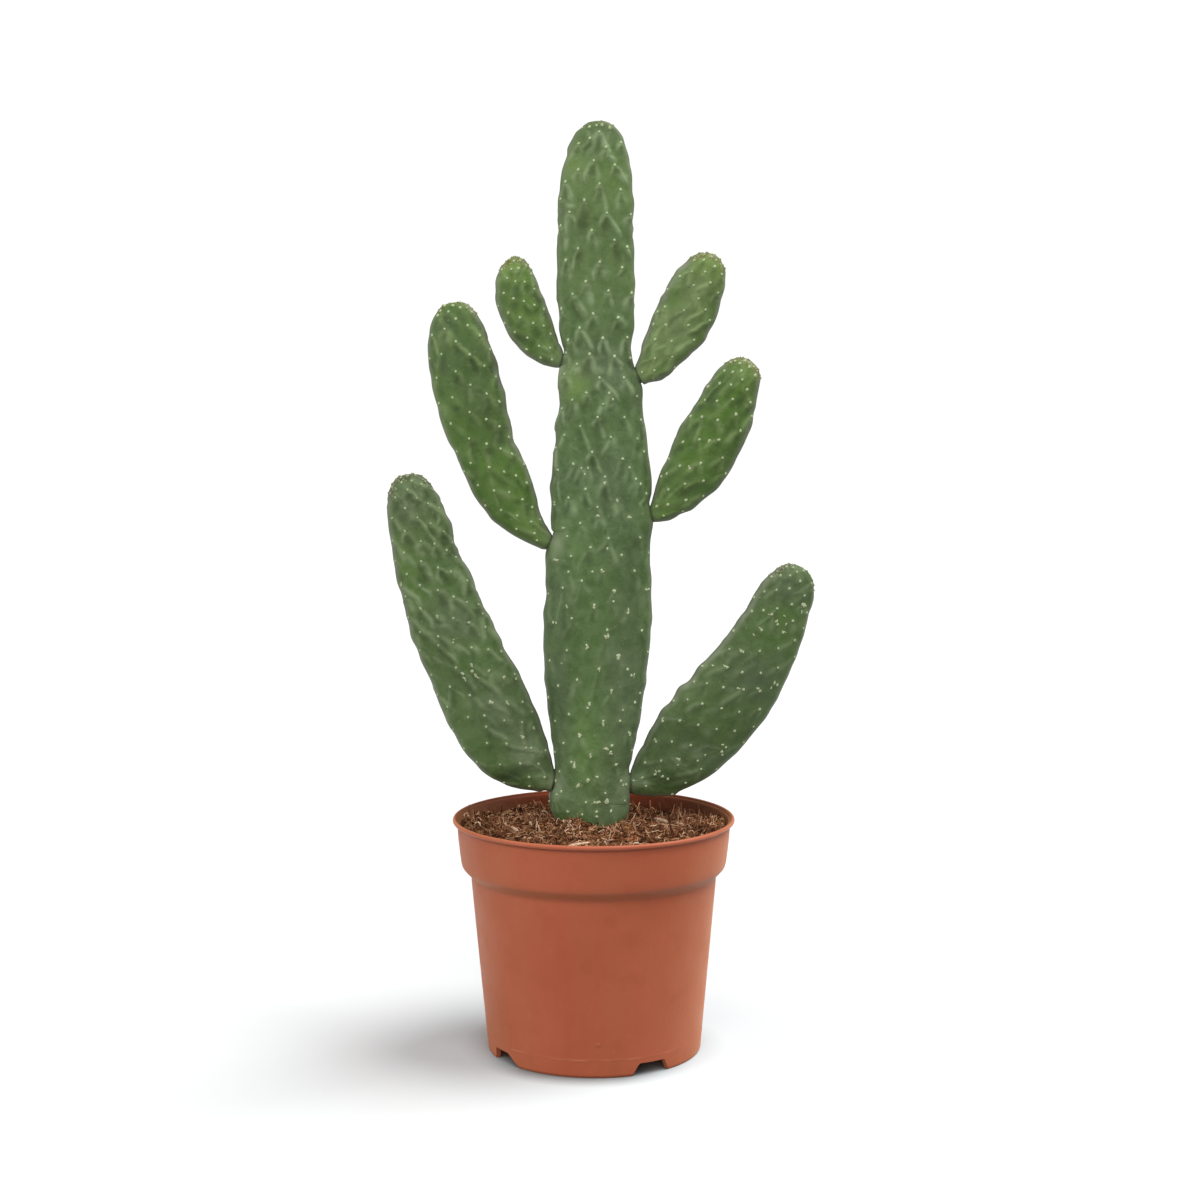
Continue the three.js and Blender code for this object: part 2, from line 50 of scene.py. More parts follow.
# Stations of each stem or pad, in millimetres from the pot axis and the standing ring:
# one edge (x, y, z), the other edge (x, y, z), half thickness.
EDGES = {
    "main_stem": [
        (-25.58, 0, 145.15, 21.56, 0, 145.15, 17.11), (-26.07, 0, 146.55, 21.66, 0, 150.93, 17.17), (-27.21, 0, 155.44, 21.66, 0, 150.93, 17.2),
        (-24.95, 0, 159.92, 21.66, 0, 150.93, 17.15), (-24.56, 0, 162.41, 22.05, 0, 156.8, 17.15), (-24.17, 0, 164.4, 22.05, 0, 164.27, 17.15),
        (-23.58, 0, 169.15, 21.55, 0, 168.94, 17.14), (-23.64, 0, 175.01, 21.57, 0, 172.7, 17.14), (-24.19, 0, 180.22, 23.04, 0, 177.29, 17.06),
        (-24.63, 0, 184.94, 23.93, 0, 183.26, 16.99), (-25.79, 0, 190.35, 25.35, 0, 188.59, 16.94), (-26.23, 0, 196.43, 26.13, 0, 193.77, 16.87),
        (-26.97, 0, 201.82, 27.79, 0, 199.66, 16.76), (-27.91, 0, 207.04, 28.75, 0, 206.07, 16.71), (-28.27, 0, 213.15, 29.32, 0, 212.04, 16.65),
        (-28.75, 0, 219.63, 30.17, 0, 217.81, 16.55), (-29.83, 0, 225.86, 31.63, 0, 223.88, 16.44), (-29.65, 0, 232.18, 31.76, 0, 230.32, 16.34),
        (-29.89, 0, 238.78, 32.58, 0, 236.64, 16.21), (-30.48, 0, 245.59, 33.39, 0, 242.92, 16.11), (-30.36, 0, 252.39, 34.09, 0, 249.48, 15.95),
        (-30.07, 0, 259.2, 34.35, 0, 256.24, 15.81), (-30.47, 0, 266.29, 35.26, 0, 262.84, 15.67), (-29.12, 0, 272.91, 34.9, 0, 269.81, 15.45),
        (-28.41, 0, 278.41, 34.53, 0, 278, 15.3), (-29.01, 0, 283.95, 34.77, 0, 286.54, 15.15), (-28.82, 0, 291.97, 34.17, 0, 292.72, 14.96),
        (-28.85, 0, 302.63, 33.85, 0, 296.03, 14.78), (-25.47, 0, 311.01, 33.81, 0, 300.65, 14.16), (-24.17, 0, 315.2, 34.04, 0, 310.03, 13.77),
        (-25.25, 0, 317.09, 35.6, 0, 320.68, 13.57), (-25.78, 0, 323.43, 34.1, 0, 328.36, 13.05), (-25.36, 0, 332.93, 33.39, 0, 333.12, 12.86),
        (-26.37, 0, 341.72, 34.58, 0, 338.66, 12.69), (-25.18, 0, 348.01, 34.68, 0, 346.95, 12.28), (-24.66, 0, 354.4, 33.61, 0, 355.29, 12.03),
        (-24.11, 0, 362.07, 32.56, 0, 362.31, 11.77), (-22.64, 0, 369.22, 31.93, 0, 369.69, 11.42), (-22.66, 0, 376.3, 31, 0, 377.2, 11.04),
        (-21.45, 0, 384.06, 29.7, 0, 383.75, 10.87), (-20.32, 0, 390.92, 28.98, 0, 391.28, 10.61), (-20.63, 0, 395.9, 29, 0, 400.68, 10.38),
        (-20.61, 0, 401.7, 26.51, 0, 408.02, 9.57), (-20.05, 0, 410.05, 24.25, 0, 413.1, 8.91), (-18.31, 0, 418.04, 22.94, 0, 417.75, 8.69),
        (-17.42, 0, 423.7, 22, 0, 424.18, 8.61), (-19, 0, 428.81, 22.8, 0, 430.56, 8.34), (-20.45, 0, 436.22, 24.09, 0, 436.74, 8.28),
        (-20.29, 0, 442.91, 23.94, 0, 443.77, 8.28), (-20.76, 0, 449.34, 23.8, 0, 450.89, 8.05), (-21.61, 0, 456.26, 24.14, 0, 457.28, 7.82),
        (-21.98, 0, 463.23, 24.56, 0, 463.47, 7.78), (-21.51, 0, 469.59, 23.93, 0, 469.87, 7.69), (-21.65, 0, 475.94, 23.95, 0, 476.3, 7.61),
        (-21.8, 0, 482.17, 24.06, 0, 482.64, 7.56), (-21.44, 0, 488.14, 23.49, 0, 488.27, 7.45), (-20.74, 0, 494.19, 22.95, 0, 494.15, 7.34),
        (-20.84, 0, 500.48, 22.9, 0, 499.61, 7.23), (-21.1, 0, 506.53, 23.69, 0, 505.1, 6.96), (-20.95, 0, 511.86, 23.94, 0, 511.1, 6.72),
        (-20, 0, 517.16, 22.88, 0, 516.64, 6.59), (-19.5, 0, 523.13, 22.69, 0, 521.45, 6.38), (-18.65, 0, 528.89, 22.57, 0, 526.15, 6.02),
        (-17.2, 0, 533.59, 21.61, 0, 531.33, 5.77), (-15.63, 0, 537.64, 20.84, 0, 536.68, 5.35), (-14.69, 0, 542.14, 19.53, 0, 540.94, 5.14),
        (-12.56, 0, 547.27, 18.28, 0, 544.56, 4.58), (-10.3, 0, 551.33, 16.97, 0, 548.82, 3.89), (-7.37, 0, 553.73, 14.31, 0, 552.72, 3.66),
        (-4.08, 0, 556.47, 11.11, 0, 555.43, 3.58), (0.04, 0, 557.28, 7.87, 0, 557.26, 2.66), (3.43, 0, 557.4, 3.43, 0, 557.4, 0),
    ],
    "pad_left_low": [
        (-23.83, 0, 171.02, -25.06, -0, 159.58, 6.5), (-24.46, -0.02, 172.26, -26.32, -0.03, 157.14, 6.59),
        (-24.89, -0.06, 173.19, -29.54, -0.1, 158.13, 6.76), (-25.45, -0.09, 174.67, -33.32, -0.17, 157.47, 6.95),
        (-26.12, -0.14, 177.06, -37.58, -0.28, 158.16, 7.18), (-26.8, -0.18, 180.14, -41.94, -0.42, 158.67, 7.43),
        (-27.47, -0.21, 183.34, -46.81, -0.58, 159.59, 7.71), (-28.17, -0.25, 186.9, -51.89, -0.78, 160.97, 8),
        (-29.59, -0.3, 191.01, -56.49, -1.02, 163.33, 8.32), (-30.83, -0.34, 194.95, -61.93, -1.29, 165.87, 8.64),
        (-31.9, -0.4, 198.38, -67.62, -1.61, 170.06, 8.96), (-33.13, -0.48, 202.43, -72.29, -1.96, 175.34, 9.27),
        (-34.94, -0.57, 206.87, -77.1, -2.35, 180.42, 9.55), (-37.16, -0.71, 211.15, -81.09, -2.76, 186.7, 9.78),
        (-39.19, -0.87, 216.18, -84.31, -3.19, 193.25, 9.93), (-41.55, -1.03, 221.7, -88.1, -3.68, 199.19, 10),
        (-44.31, -1.25, 227.3, -90.75, -4.16, 205.79, 9.99), (-47.08, -1.49, 233.64, -93.28, -4.68, 212.03, 9.96),
        (-50.99, -1.8, 239.62, -95.48, -5.17, 218.29, 9.91), (-54.48, -2.14, 245.38, -97.81, -5.69, 225.1, 9.84),
        (-56.73, -2.43, 251.77, -100.85, -6.31, 231.76, 9.75), (-60.18, -2.79, 257.89, -103.96, -6.92, 238.2, 9.65),
        (-62.57, -3.18, 264.48, -105.96, -7.55, 245.07, 9.53), (-65.95, -3.59, 269.61, -109.52, -8.2, 252.19, 9.41),
        (-67.92, -4.08, 274.79, -110.87, -8.79, 260.6, 9.29), (-70.62, -4.56, 280.4, -112.7, -9.4, 267.66, 9.16),
        (-73.17, -5.07, 287.48, -113.78, -10.04, 273.66, 9.04), (-76.23, -5.6, 294.53, -114.95, -10.67, 279.2, 8.92),
        (-79.46, -6.16, 299.75, -117.2, -11.3, 285.76, 8.81), (-81.42, -6.77, 304.04, -118.37, -11.88, 293.81, 8.7),
        (-83.26, -7.36, 308.49, -119.45, -12.48, 301.32, 8.59), (-84.57, -7.9, 314.2, -120.18, -13.13, 307.42, 8.48),
        (-85.62, -8.4, 320.69, -120.85, -13.81, 312.35, 8.36), (-88.05, -9, 326.24, -121.64, -14.37, 317.19, 8.25),
        (-89.88, -9.6, 331.01, -122.02, -14.89, 322.55, 8.14), (-91.87, -10.21, 335.19, -122.34, -15.34, 327.78, 8.04),
        (-94.16, -10.87, 339.09, -122.08, -15.68, 332.43, 7.94), (-96.14, -11.48, 343.03, -121.71, -16.01, 336.56, 7.73),
        (-98.81, -12.16, 346.26, -120.88, -16.16, 340.18, 6.94), (-101.67, -12.85, 348.83, -119.63, -16.18, 343.33, 5.63),
        (-104.57, -13.5, 350.08, -117.97, -16.02, 346.03, 4.09), (-107.41, -14.11, 350.17, -116.05, -15.71, 348.18, 2.59),
        (-109.73, -14.59, 350.02, -113.64, -15.32, 349.08, 1.84), (-111.75, -15, 349.92, -111.75, -15, 349.92, 0),
    ],
    "pad_left_mid": [
        (-24.9, 0, 313.25, -28.71, 0, 304.46, 5.2), (-25.46, 0.03, 314.26, -31.21, 0.05, 304.82, 5.38),
        (-26.73, 0.08, 315.89, -34.01, 0.13, 306.12, 5.64), (-28.28, 0.14, 318.05, -37.04, 0.23, 307.52, 5.95),
        (-29.87, 0.2, 320.73, -40.38, 0.35, 309.07, 6.28), (-31.11, 0.25, 323.77, -44.2, 0.5, 310.97, 6.64),
        (-32.3, 0.31, 327.05, -48.42, 0.68, 313.3, 7.01), (-33.36, 0.36, 330.89, -52.63, 0.89, 316.11, 7.38),
        (-34.07, 0.41, 335.15, -56.99, 1.13, 319.25, 7.73), (-35.41, 0.47, 339.24, -61.62, 1.41, 323.03, 8.07),
        (-36.65, 0.54, 343.89, -65.18, 1.72, 327.96, 8.35), (-38.37, 0.62, 348.9, -69.05, 2.06, 332.67, 8.53),
        (-40.44, 0.73, 353.9, -72.55, 2.42, 338.06, 8.6), (-42.82, 0.87, 359.14, -75.24, 2.78, 343.97, 8.58),
        (-45.12, 1.03, 364.59, -77.88, 3.16, 350.09, 8.54), (-47.93, 1.22, 369.35, -81.01, 3.55, 356.63, 8.47),
        (-49.01, 1.38, 375.39, -83.27, 4, 363.05, 8.37), (-50.11, 1.47, 381.88, -86.84, 4.54, 368.47, 8.26),
        (-51.83, 1.66, 386.92, -89.88, 5.02, 375.6, 8.14), (-52.43, 1.83, 392.02, -92.33, 5.55, 383.2, 8),
        (-53.33, 2.04, 398.76, -93.46, 6.06, 389.23, 7.86), (-55.58, 2.28, 405.3, -95.15, 6.54, 394.6, 7.73),
        (-57.11, 2.53, 410.56, -96.96, 7.03, 401.4, 7.6), (-58.22, 2.82, 416.05, -97.64, 7.49, 407.98, 7.49),
        (-60.21, 3.13, 421.8, -98.76, 7.93, 413.6, 7.36), (-61.93, 3.49, 426.4, -99.15, 8.3, 419.92, 7.24),
        (-63.25, 3.84, 430.12, -99.54, 8.67, 426.79, 7.12), (-64.25, 4.22, 434.37, -98.71, 8.97, 432.65, 7),
        (-65.86, 4.64, 438.5, -97.97, 9.21, 437.81, 6.88), (-67.83, 5.14, 441.56, -96.08, 9.28, 442.72, 6.78),
        (-69.56, 5.67, 444.48, -93.48, 9.27, 446.88, 6.26), (-71.69, 6.2, 447.41, -91.02, 9.18, 449.94, 5.16),
        (-73.98, 6.73, 449.88, -88.18, 8.94, 451.22, 3.95), (-76.35, 7.23, 451.51, -85.29, 8.63, 452.05, 2.68),
        (-78.64, 7.66, 452.47, -82.69, 8.29, 452.37, 1.53), (-80.73, 8, 452.72, -80.73, 8, 452.72, 0),
    ],
    "pad_left_top": [
        (-17.78, 0, 421.71, -20.06, 0, 413.17, 4.6), (-18.14, 0.11, 422.36, -22.26, 0.08, 413.29, 4.79),
        (-18.7, 0.24, 423.56, -24.6, 0.18, 413.68, 5.02), (-19.38, 0.41, 425.18, -27.19, 0.3, 414.3, 5.29),
        (-20.2, 0.63, 427, -30.19, 0.43, 415.18, 5.59), (-21.13, 0.89, 429.14, -33.31, 0.59, 416.71, 5.9),
        (-22.03, 1.2, 431.72, -36.47, 0.76, 418.62, 6.2), (-22.86, 1.55, 434.28, -40.09, 0.94, 420.9, 6.44),
        (-23.57, 1.95, 436.98, -43.59, 1.14, 423.99, 6.58), (-24.49, 2.4, 440.31, -46.45, 1.36, 427.33, 6.59),
        (-25.67, 2.88, 443.77, -49.38, 1.59, 430.75, 6.55), (-27.23, 3.37, 446.67, -51.85, 1.88, 435.18, 6.47),
        (-28.37, 3.89, 450.1, -53.76, 2.19, 439.72, 6.37), (-29.59, 4.45, 454.07, -55.85, 2.48, 443.61, 6.24),
        (-31.2, 4.95, 457.18, -57.23, 2.84, 448.43, 6.11), (-32.32, 5.48, 459.66, -58.65, 3.21, 453.92, 5.98),
        (-33.22, 5.95, 462.71, -58.49, 3.62, 458.93, 5.86), (-34.49, 6.4, 466.08, -58.53, 4.03, 463.12, 5.74),
        (-35.95, 6.77, 468.87, -57.97, 4.47, 467.28, 5.63), (-37.4, 7.01, 471.5, -56.17, 4.96, 470.78, 5.51),
        (-39.21, 7.22, 474.42, -54.99, 5.42, 473.45, 5.02), (-41.07, 7.32, 477.03, -53.36, 5.85, 475.16, 4.19),
        (-43.16, 7.3, 478.12, -51.89, 6.24, 476.95, 3.26), (-44.9, 7.26, 479.33, -50.28, 6.6, 478.39, 1.83),
        (-46.72, 7.11, 479.44, -48.86, 6.84, 478.84, 1.14), (-47.64, 7, 479, -47.64, 7, 479, 0),
    ],
    "pad_right_top": [
        (24.48, 0, 413.7, 28.8, -0, 404.27, 5), (24.96, -0.05, 414.75, 30.15, -0.03, 403.34, 5.13),
        (25.44, -0.16, 415.64, 32.74, -0.1, 404.46, 5.38), (26.28, -0.3, 417.41, 35.56, -0.18, 405.13, 5.69),
        (27.19, -0.49, 419.66, 38.64, -0.27, 405.97, 6.02), (27.86, -0.71, 421.63, 42.35, -0.37, 408.02, 6.38),
        (28.33, -0.99, 423.75, 46.27, -0.49, 410.8, 6.74), (28.96, -1.31, 426.99, 49.27, -0.62, 413.67, 7.05),
        (30.42, -1.68, 430.86, 52.23, -0.77, 416.23, 7.29), (32.08, -2.12, 434.79, 55.55, -0.94, 418.96, 7.4),
        (33.47, -2.6, 438.97, 58.72, -1.12, 422.23, 7.38), (34.79, -3.15, 443.08, 62.44, -1.31, 425.46, 7.33),
        (36.48, -3.73, 446.68, 66.11, -1.54, 429.53, 7.24), (38.22, -4.3, 450.39, 68.35, -1.85, 434.51, 7.12),
        (40.2, -4.92, 453.92, 71.27, -2.17, 439.26, 6.99), (41.85, -5.53, 457.15, 73.49, -2.54, 444.72, 6.84),
        (43.47, -6.14, 461.16, 74.68, -2.95, 449.6, 6.7), (46.54, -6.68, 465.81, 75.29, -3.42, 453.04, 6.58),
        (49.16, -7.27, 470.37, 76.43, -3.87, 456.41, 6.45), (52.07, -7.73, 472.8, 77.65, -4.41, 460.81, 6.32),
        (54.58, -8.09, 474.98, 77.76, -4.98, 465.41, 6.19), (57.32, -8.45, 477.76, 77.83, -5.55, 468.93, 5.89),
        (60.87, -8.59, 479.43, 77.28, -6.14, 471.7, 5.09), (63.8, -8.56, 480.34, 75.83, -6.71, 474.36, 4.05),
        (65.42, -8.41, 479.68, 74.47, -7.08, 476.58, 3.44), (66.79, -8.35, 480.25, 72.87, -7.44, 478.06, 2.29),
        (68.16, -8.15, 479.85, 70.9, -7.75, 479.14, 1.5), (69.21, -8, 479.57, 69.21, -8, 479.57, 0),
    ],
    "pad_right_mid": [
        (34, 0, 331.41, 36.19, -0, 320.96, 5.4), (34.18, -0.09, 331.85, 39.19, -0.12, 321.23, 5.64), (34.9, -0.2, 333.61, 41.56, -0.26, 321.56, 5.9),
        (35.42, -0.32, 335.15, 44.89, -0.43, 322.21, 6.22), (35.79, -0.47, 336.67, 48.61, -0.66, 324.03, 6.58),
        (36.52, -0.63, 339.32, 51.75, -0.92, 325.95, 6.98), (37.39, -0.8, 343.02, 54.79, -1.23, 327.07, 7.36),
        (38.39, -0.98, 346.31, 58.74, -1.59, 328.63, 7.74), (39.49, -1.21, 349.43, 62.53, -2.02, 331.74, 8.1),
        (41.37, -1.48, 353.53, 65.63, -2.5, 334.66, 8.4), (43.71, -1.77, 357.86, 68.98, -3.03, 337.34, 8.57),
        (45.14, -2.06, 361.38, 73.5, -3.63, 340.89, 8.6), (46.09, -2.41, 364.51, 77.54, -4.27, 346.17, 8.56),
        (47.24, -2.78, 368.27, 81.07, -4.96, 351.28, 8.49), (49.28, -3.21, 372.82, 83.62, -5.67, 355.97, 8.39),
        (51.76, -3.69, 378.18, 85.39, -6.4, 360.12, 8.27), (54.87, -4.21, 383.07, 87.53, -7.15, 364.22, 8.13),
        (57.68, -4.74, 386.76, 89.65, -7.83, 368.6, 7.99), (59.56, -5.32, 390.13, 92.02, -8.6, 374.55, 7.84),
        (61.9, -5.95, 393.28, 94.06, -9.33, 380.3, 7.7), (64.19, -6.62, 397.17, 94.6, -10.01, 385.47, 7.57),
        (66.36, -7.26, 401.74, 95.78, -10.77, 389.68, 7.43), (69.35, -7.96, 405.59, 96.36, -11.39, 393.75, 7.3),
        (71.7, -8.63, 409.44, 97.04, -12.04, 397.72, 7.17), (74.3, -9.32, 412.54, 97.72, -12.61, 401.62, 7.03),
        (76.85, -10.01, 414.56, 98.3, -13.07, 405.8, 6.74), (79.16, -10.7, 416.46, 97.81, -13.4, 409.63, 5.9),
        (82.12, -11.35, 417.73, 96.75, -13.52, 412.45, 4.77), (84.68, -11.92, 418.58, 95.07, -13.5, 414.61, 3.53),
        (86.49, -12.36, 418.58, 92.79, -13.33, 416.04, 2.64), (88.06, -12.76, 418.67, 90.92, -13.2, 417.5, 0.95),
        (89.59, -13, 418.04, 89.59, -13, 418.04, 0),
    ],
    "pad_right_low": [
        (22.13, 0, 168.93, 22.76, 0, 155.88, 6.5), (22.38, 0.04, 169.55, 26.09, 0.07, 155.14, 6.68),
        (23.01, 0.07, 171.37, 28.93, 0.14, 154.62, 6.87), (23.88, 0.11, 173.64, 32.2, 0.25, 154.59, 7.11),
        (24.59, 0.15, 175.57, 36.47, 0.38, 154.35, 7.37), (25.73, 0.18, 178.36, 40.24, 0.53, 154.53, 7.65),
        (27.82, 0.22, 182.39, 43.45, 0.73, 154.65, 7.96), (29.67, 0.25, 184.95, 48.27, 0.95, 154.73, 8.29),
        (30.43, 0.29, 186.27, 52.53, 1.14, 157.5, 8.57), (31.56, 0.33, 189.34, 58.36, 1.45, 160.05, 8.92),
        (33.65, 0.36, 194.12, 62.86, 1.81, 162.18, 9.26), (36.2, 0.41, 198, 68.18, 2.2, 165.04, 9.56), (38.5, 0.46, 202, 73.61, 2.63, 168.65, 9.8),
        (41.31, 0.52, 207.42, 77.68, 3.09, 172.15, 9.96), (45.83, 0.65, 211.29, 82.1, 3.54, 176.1, 10),
        (48.98, 0.76, 215.38, 87.31, 4.05, 180.77, 9.98), (52, 0.87, 220.79, 91.44, 4.6, 185.42, 9.94),
        (57.32, 1.12, 224.37, 95.35, 5.06, 190.23, 9.87), (60.62, 1.32, 228.38, 100.1, 5.61, 196.06, 9.79),
        (63.4, 1.49, 233.28, 104.74, 6.22, 201.62, 9.69), (68.02, 1.81, 237.51, 108.12, 6.72, 207.34, 9.57),
        (71.83, 2.13, 241.57, 111.86, 7.25, 213.48, 9.45), (75.4, 2.52, 245.44, 114.87, 7.73, 220.37, 9.32),
        (79.03, 2.89, 249.87, 117.91, 8.25, 226.57, 9.19), (82.49, 3.3, 254.38, 120.58, 8.77, 232.77, 9.07),
        (85.75, 3.7, 258.86, 123.23, 9.29, 238.87, 8.95), (88.73, 4.14, 263.52, 125.15, 9.78, 244.92, 8.84),
        (91.94, 4.61, 267.19, 127.46, 10.23, 251.1, 8.73), (94.08, 5.05, 271.26, 129.02, 10.7, 257.15, 8.62),
        (96.79, 5.5, 276.36, 130.09, 11.15, 261.88, 8.5), (100.35, 5.98, 281.71, 130.87, 11.54, 265.46, 8.39),
        (103.45, 6.42, 285.84, 132.54, 11.95, 269.54, 8.28), (106.36, 6.97, 288.36, 133.67, 12.19, 274.52, 8.17),
        (109.38, 7.59, 290.86, 133.45, 12.27, 279.01, 7.97), (112.35, 8.17, 293.15, 133.29, 12.33, 282.95, 7.25),
        (114.9, 8.82, 294.21, 131.94, 12.18, 286.96, 6.24), (116.89, 9.46, 295.2, 129.58, 11.96, 290.3, 4.94),
        (119.55, 10.02, 295.06, 127.27, 11.56, 292.03, 4.26), (122.45, 10.53, 294.33, 125.57, 11.17, 292.9, 3.65),
        (125.43, 11, 292.95, 125.43, 11, 292.95, 0),
    ],
}
# Areoles on the front: thousandths of the length, thousandths of the half width.
AREOLES = {
    "main_stem": [
        (0, -158), (5, 200), (8, -517), (10, -158), (15, 550), (23, 975), (30, 83), (35, -117), (43, -425), (45, 767), (48, -850), (58, -350),
        (68, -875), (68, 367), (73, 933), (75, -750), (80, 108), (85, -142), (90, 850), (100, 458), (108, -592), (108, 533), (120, 942), (123, 67),
        (128, -933), (128, -425), (133, -300), (138, -433), (138, 700), (150, 317), (158, -783), (170, 850), (175, -542), (175, -192), (183, 533),
        (190, -592), (193, 142), (200, -825), (200, 100), (203, 950), (213, -900), (218, -325), (221, 717), (231, 350), (238, -692), (246, -608),
        (246, -58), (253, 875), (261, -417), (268, -958), (268, 542), (276, 183), (288, -150), (296, -817), (296, -183), (301, 808), (308, 467),
        (318, -542), (323, 592), (326, 83), (331, -275), (338, 950), (343, -892), (343, -300), (348, 667), (356, 308), (366, -683), (366, 108),
        (366, 558), (368, -67), (376, 825), (381, 508), (391, -425), (394, 200), (396, -133), (398, -958), (404, 700), (408, -133), (411, -767),
        (424, 758), (429, 417), (431, -550), (436, 67), (446, 58), (451, 933), (454, -333), (456, 633), (464, -892), (466, 292), (474, -767),
        (474, -58), (479, -675), (481, -67), (484, 333), (489, 875), (491, -575), (491, 267), (491, 400), (496, 567), (501, -450), (509, -900),
        (509, 183), (514, 958), (524, -783), (526, -208), (529, 792), (539, 450), (546, -917), (549, -550), (549, 67), (559, 925), (564, -58),
        (569, -283), (571, -850), (571, 683), (576, -200), (579, 333), (592, -633), (596, -42), (604, 858), (614, 558), (622, -933), (624, -492),
        (627, 233), (629, 908), (649, -850), (649, -167), (649, 792), (662, 450), (674, -567), (679, 92), (687, 917), (704, -908), (704, 592),
        (707, -325), (719, 250), (737, -683), (744, -108), (747, 767), (762, 450), (764, -808), (774, -500), (787, 100), (794, 933), (812, -925),
        (812, -292), (812, 683), (830, 308), (832, 925), (847, -675), (855, -92), (857, 842), (875, 533), (887, -525), (892, 117), (917, -283),
        (922, 683), (930, -842), (932, 333), (947, 8), (960, -575), (960, 558), (965, 183), (967, -175),
    ],
    "pad_left_low": [
        (78, 92), (113, -683), (135, -292), (138, 358), (153, 833), (180, -917), (188, -100), (198, 458), (210, 342), (223, -492), (246, 783),
        (248, 400), (256, -908), (256, -17), (278, 583), (281, -392), (286, 908), (293, -942), (306, 233), (313, -217), (323, 800), (336, -942),
        (336, -133), (341, 475), (348, -483), (356, 117), (376, 883), (384, -825), (386, 892), (388, -242), (391, 633), (414, -950), (416, 408),
        (418, 75), (421, -592), (424, -183), (431, 42), (434, -175), (439, 900), (444, 108), (451, -275), (456, -900), (456, 625), (474, 275),
        (499, -92), (499, 783), (506, -458), (509, -933), (521, -367), (521, 475), (526, 892), (541, -733), (544, 167), (551, 892), (559, -225),
        (566, 633), (571, -942), (584, -575), (586, 358), (606, 833), (609, 0), (619, -892), (632, -425), (634, 525), (644, -908), (654, 250),
        (662, -675), (662, 858), (679, -183), (689, -942), (689, 667), (704, -633), (704, 908), (712, 350), (724, -67), (734, 700), (737, -933),
        (757, -500), (759, 367), (784, -8), (792, 808), (797, -842), (814, 508), (817, -350), (840, 158), (850, 900), (857, -692), (875, -142),
        (880, 592), (900, -917), (905, 225), (912, -400), (945, 225),
    ],
    "pad_left_mid": [
        (80, -367), (113, -33), (143, 833), (163, 333), (180, -550), (210, 708), (218, -83), (256, 475), (263, -442), (298, -842), (298, 142),
        (298, 825), (323, -275), (333, 600), (353, 950), (356, -675), (358, 308), (386, -83), (394, 758), (404, -908), (416, -575), (421, 533),
        (444, 883), (446, 150), (456, -892), (476, -325), (479, 675), (509, 383), (524, -683), (539, -42), (551, 825), (576, 533), (584, -892),
        (589, -442), (609, 175), (616, 917), (649, -783), (654, -175), (654, 675), (694, 367), (699, 958), (707, -900), (712, -500), (742, 17),
        (757, 792), (769, -825), (787, -367), (797, 475), (825, 58), (835, -725), (855, -342), (857, -758), (870, 833), (887, -742), (887, 258),
        (897, -242),
    ],
    "pad_left_top": [
        (115, -342), (198, 250), (200, -650), (266, -183), (286, 700), (298, -775), (348, -400), (361, 525), (404, 158), (411, -708), (459, 833),
        (466, -258), (474, -942), (499, 500), (514, -625), (541, 142), (566, -933), (574, -250), (606, 742), (614, -617), (659, 367), (667, -58),
        (694, -433), (714, 808), (757, -275), (759, -833), (759, 150), (784, 717), (832, -117), (832, 433),
    ],
    "pad_right_top": [
        (80, 83), (170, -300), (233, 150), (253, -908), (298, -483), (323, 558), (361, -50), (381, 858), (414, 458), (424, -658), (449, 908),
        (466, -233), (489, 758), (516, 158), (524, -783), (556, -500), (579, 942), (592, -150), (642, 200), (649, 792), (664, -750), (692, -308),
        (702, 550), (734, 75), (759, -725), (769, 775), (792, -267), (800, 442), (860, 142),
    ],
    "pad_right_mid": [
        (90, 392), (95, -458), (163, -75), (193, -842), (231, 367), (246, -483), (261, 883), (286, 733), (301, -50), (308, -858), (341, 925),
        (348, 483), (356, -458), (406, -75), (411, -908), (446, 708), (459, -600), (481, 275), (514, -250), (536, 892), (561, 575), (579, -725),
        (579, 75), (627, -408), (634, 775), (637, -942), (649, 367), (679, -142), (684, 892), (694, -775), (719, 575), (734, 133), (744, -542),
        (779, -217), (779, 700), (794, 342), (820, 0), (822, -742), (862, -392), (862, 283), (867, 683), (932, 50),
    ],
    "pad_right_low": [
        (30, 317), (95, -275), (100, 192), (150, 567), (163, 8), (180, -892), (186, -158), (186, 50), (198, -342), (221, 267), (231, -767),
        (251, 717), (253, -175), (288, 400), (291, -650), (301, -417), (313, 867), (318, -925), (318, -17), (326, -450), (346, 567), (358, -733),
        (371, 208), (373, 967), (376, -658), (394, -192), (401, 733), (414, -925), (418, 433), (421, -550), (441, 58), (446, 925), (456, -850),
        (461, -325), (466, 683), (484, 317), (494, -692), (494, 958), (509, -83), (511, 825), (529, -433), (529, 558), (541, 200), (561, -775),
        (564, -217), (574, 783), (586, 475), (596, -558), (609, 108), (622, 958), (637, -892), (637, -317), (659, 350), (674, -700), (679, -258),
        (692, 17), (697, 875), (709, -842), (712, 300), (714, 583), (717, -417), (734, 208), (739, 975), (762, -825), (762, 825), (764, -183),
        (782, -642), (782, 533), (807, 183), (810, -458), (817, 933), (837, 733), (852, -100), (855, 425), (865, -717), (885, 208), (890, 825),
        (900, 517), (905, -250),
    ],
}
